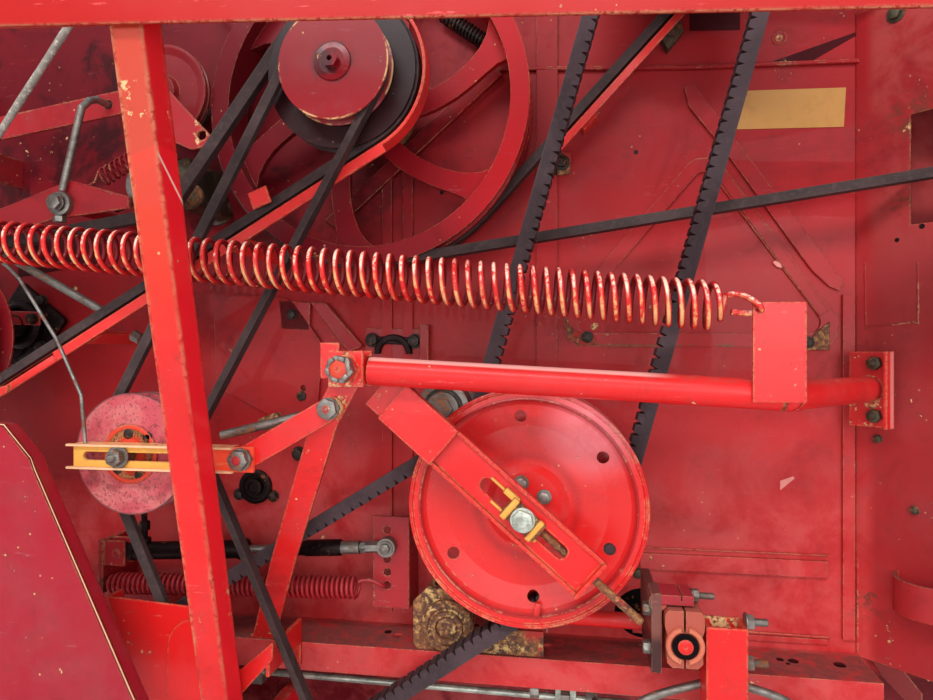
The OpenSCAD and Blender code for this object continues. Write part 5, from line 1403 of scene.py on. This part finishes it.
class DRIVE_OT_stage(bpy.types.Operator):
    """Sets the floor, soft lamps, world and camera"""

    bl_idname = "drive.stage"
    bl_label = "Stage"

    def lamp(self, name, at, aim, size, power, tall=None):
        data = bpy.data.lights.new(name, "AREA")
        data.energy = power
        data.size = size
        if tall:
            data.shape = "RECTANGLE"
            data.size_y = tall
        obj = bpy.data.objects.new(name, data)
        obj.location = at
        obj.rotation_euler = (Vector(aim) - Vector(at)).to_track_quat("-Z", "Y").to_euler()
        bpy.context.scene.collection.objects.link(obj)

    def execute(self, context):
        scene = bpy.context.scene
        camera = bpy.data.objects.new("camera", bpy.data.cameras.new("camera"))
        camera.data.sensor_width = 36
        camera.data.lens = 36 * 674 / 933
        camera.location = (sizes().eye_side, -sizes().eye_depth, 0)
        camera.rotation_euler = (math.radians(90), 0, VIEW_TURN)
        camera.data.clip_start = 0.05
        scene.collection.objects.link(camera)
        scene.camera = camera
        floor = bpy.data.meshes.new("floor")
        reach = 9
        corners = [(-reach, -reach, 0), (reach, -reach, 0), (reach, reach, 0), (-reach, reach, 0)]
        floor.from_pydata(corners, [], [(0, 1, 2, 3)])
        ground = bpy.data.objects.new("floor", floor)
        ground.location.z = CAD_BOX[0].z - 0.004
        scene.collection.objects.link(ground)
        s = Shade("floor_paint")
        tint = s.mix(s.noise(0.7, 3).step(0.3, 0.7), (0.8, 0.8, 0.79), (0.84, 0.84, 0.83))
        floor.materials.append(s.finish(tint, 0.85, None))
        world = bpy.data.worlds.new("sky")
        world.use_nodes = True
        back = world.node_tree.nodes["Background"]
        back.inputs["Color"].default_value = (0.93, 0.95, 1.0, 1)
        back.inputs["Strength"].default_value = 0.52
        scene.world = world
        self.lamp("key", (-0.5, -2.7, 2.2), (0.0, -0.2, 0.0), 3.0, 70, 0.35)
        self.lamp("fill", (1.5, -3.0, 0.6), (0.2, -0.1, 0.0), 1.2, 20)
        self.lamp("low", (-0.3, -2.9, 0.06), (-0.1, -0.1, -0.1), 3.4, 24, 0.8)
        self.lamp("rear", (0.4, 3.2, 1.8), (0.0, 0.0, 0.0), 2.5, 50)
        scene.view_settings.view_transform = "Standard"
        return {"FINISHED"}


class DRIVE_PT_panel(bpy.types.Panel):
    """Shows the colours, the sizes and a button for each building step"""

    bl_label = "Belt drive side"
    bl_idname = "DRIVE_PT_panel"
    bl_space_type = "VIEW_3D"
    bl_region_type = "UI"
    bl_category = "Belt drive"

    def draw(self, context):
        for group in (context.scene.drive_paint, context.scene.drive_sizes):
            for name in group.__annotations__:
                self.layout.prop(group, name)
        for step in STEPS:
            self.layout.operator(step.bl_idname)


STEPS = [
    DRIVE_OT_stage,
    DRIVE_OT_finishes,
    DRIVE_OT_springs,
    DRIVE_OT_bolts,
    DRIVE_OT_tensioner,
    DRIVE_OT_disc,
    DRIVE_OT_small_pulley,
    DRIVE_OT_clamp,
    DRIVE_OT_wall,
    DRIVE_OT_beam,
    DRIVE_OT_left_side,
    DRIVE_OT_cylinder,
    DRIVE_OT_brackets,
]
CLASSES = [DrivePaint, DriveSizes, *STEPS, DRIVE_PT_panel]


def register():
    for cls in CLASSES:
        bpy.utils.register_class(cls)
    bpy.types.Scene.drive_paint = PointerProperty(type=DrivePaint)
    bpy.types.Scene.drive_sizes = PointerProperty(type=DriveSizes)


def unregister():
    del bpy.types.Scene.drive_sizes
    del bpy.types.Scene.drive_paint
    for cls in reversed(CLASSES):
        bpy.utils.unregister_class(cls)


def main():
    register()
    for step in STEPS:
        group, name = step.bl_idname.split(".")
        getattr(getattr(bpy.ops, group), name)()


if __name__ == "__main__":
    main()
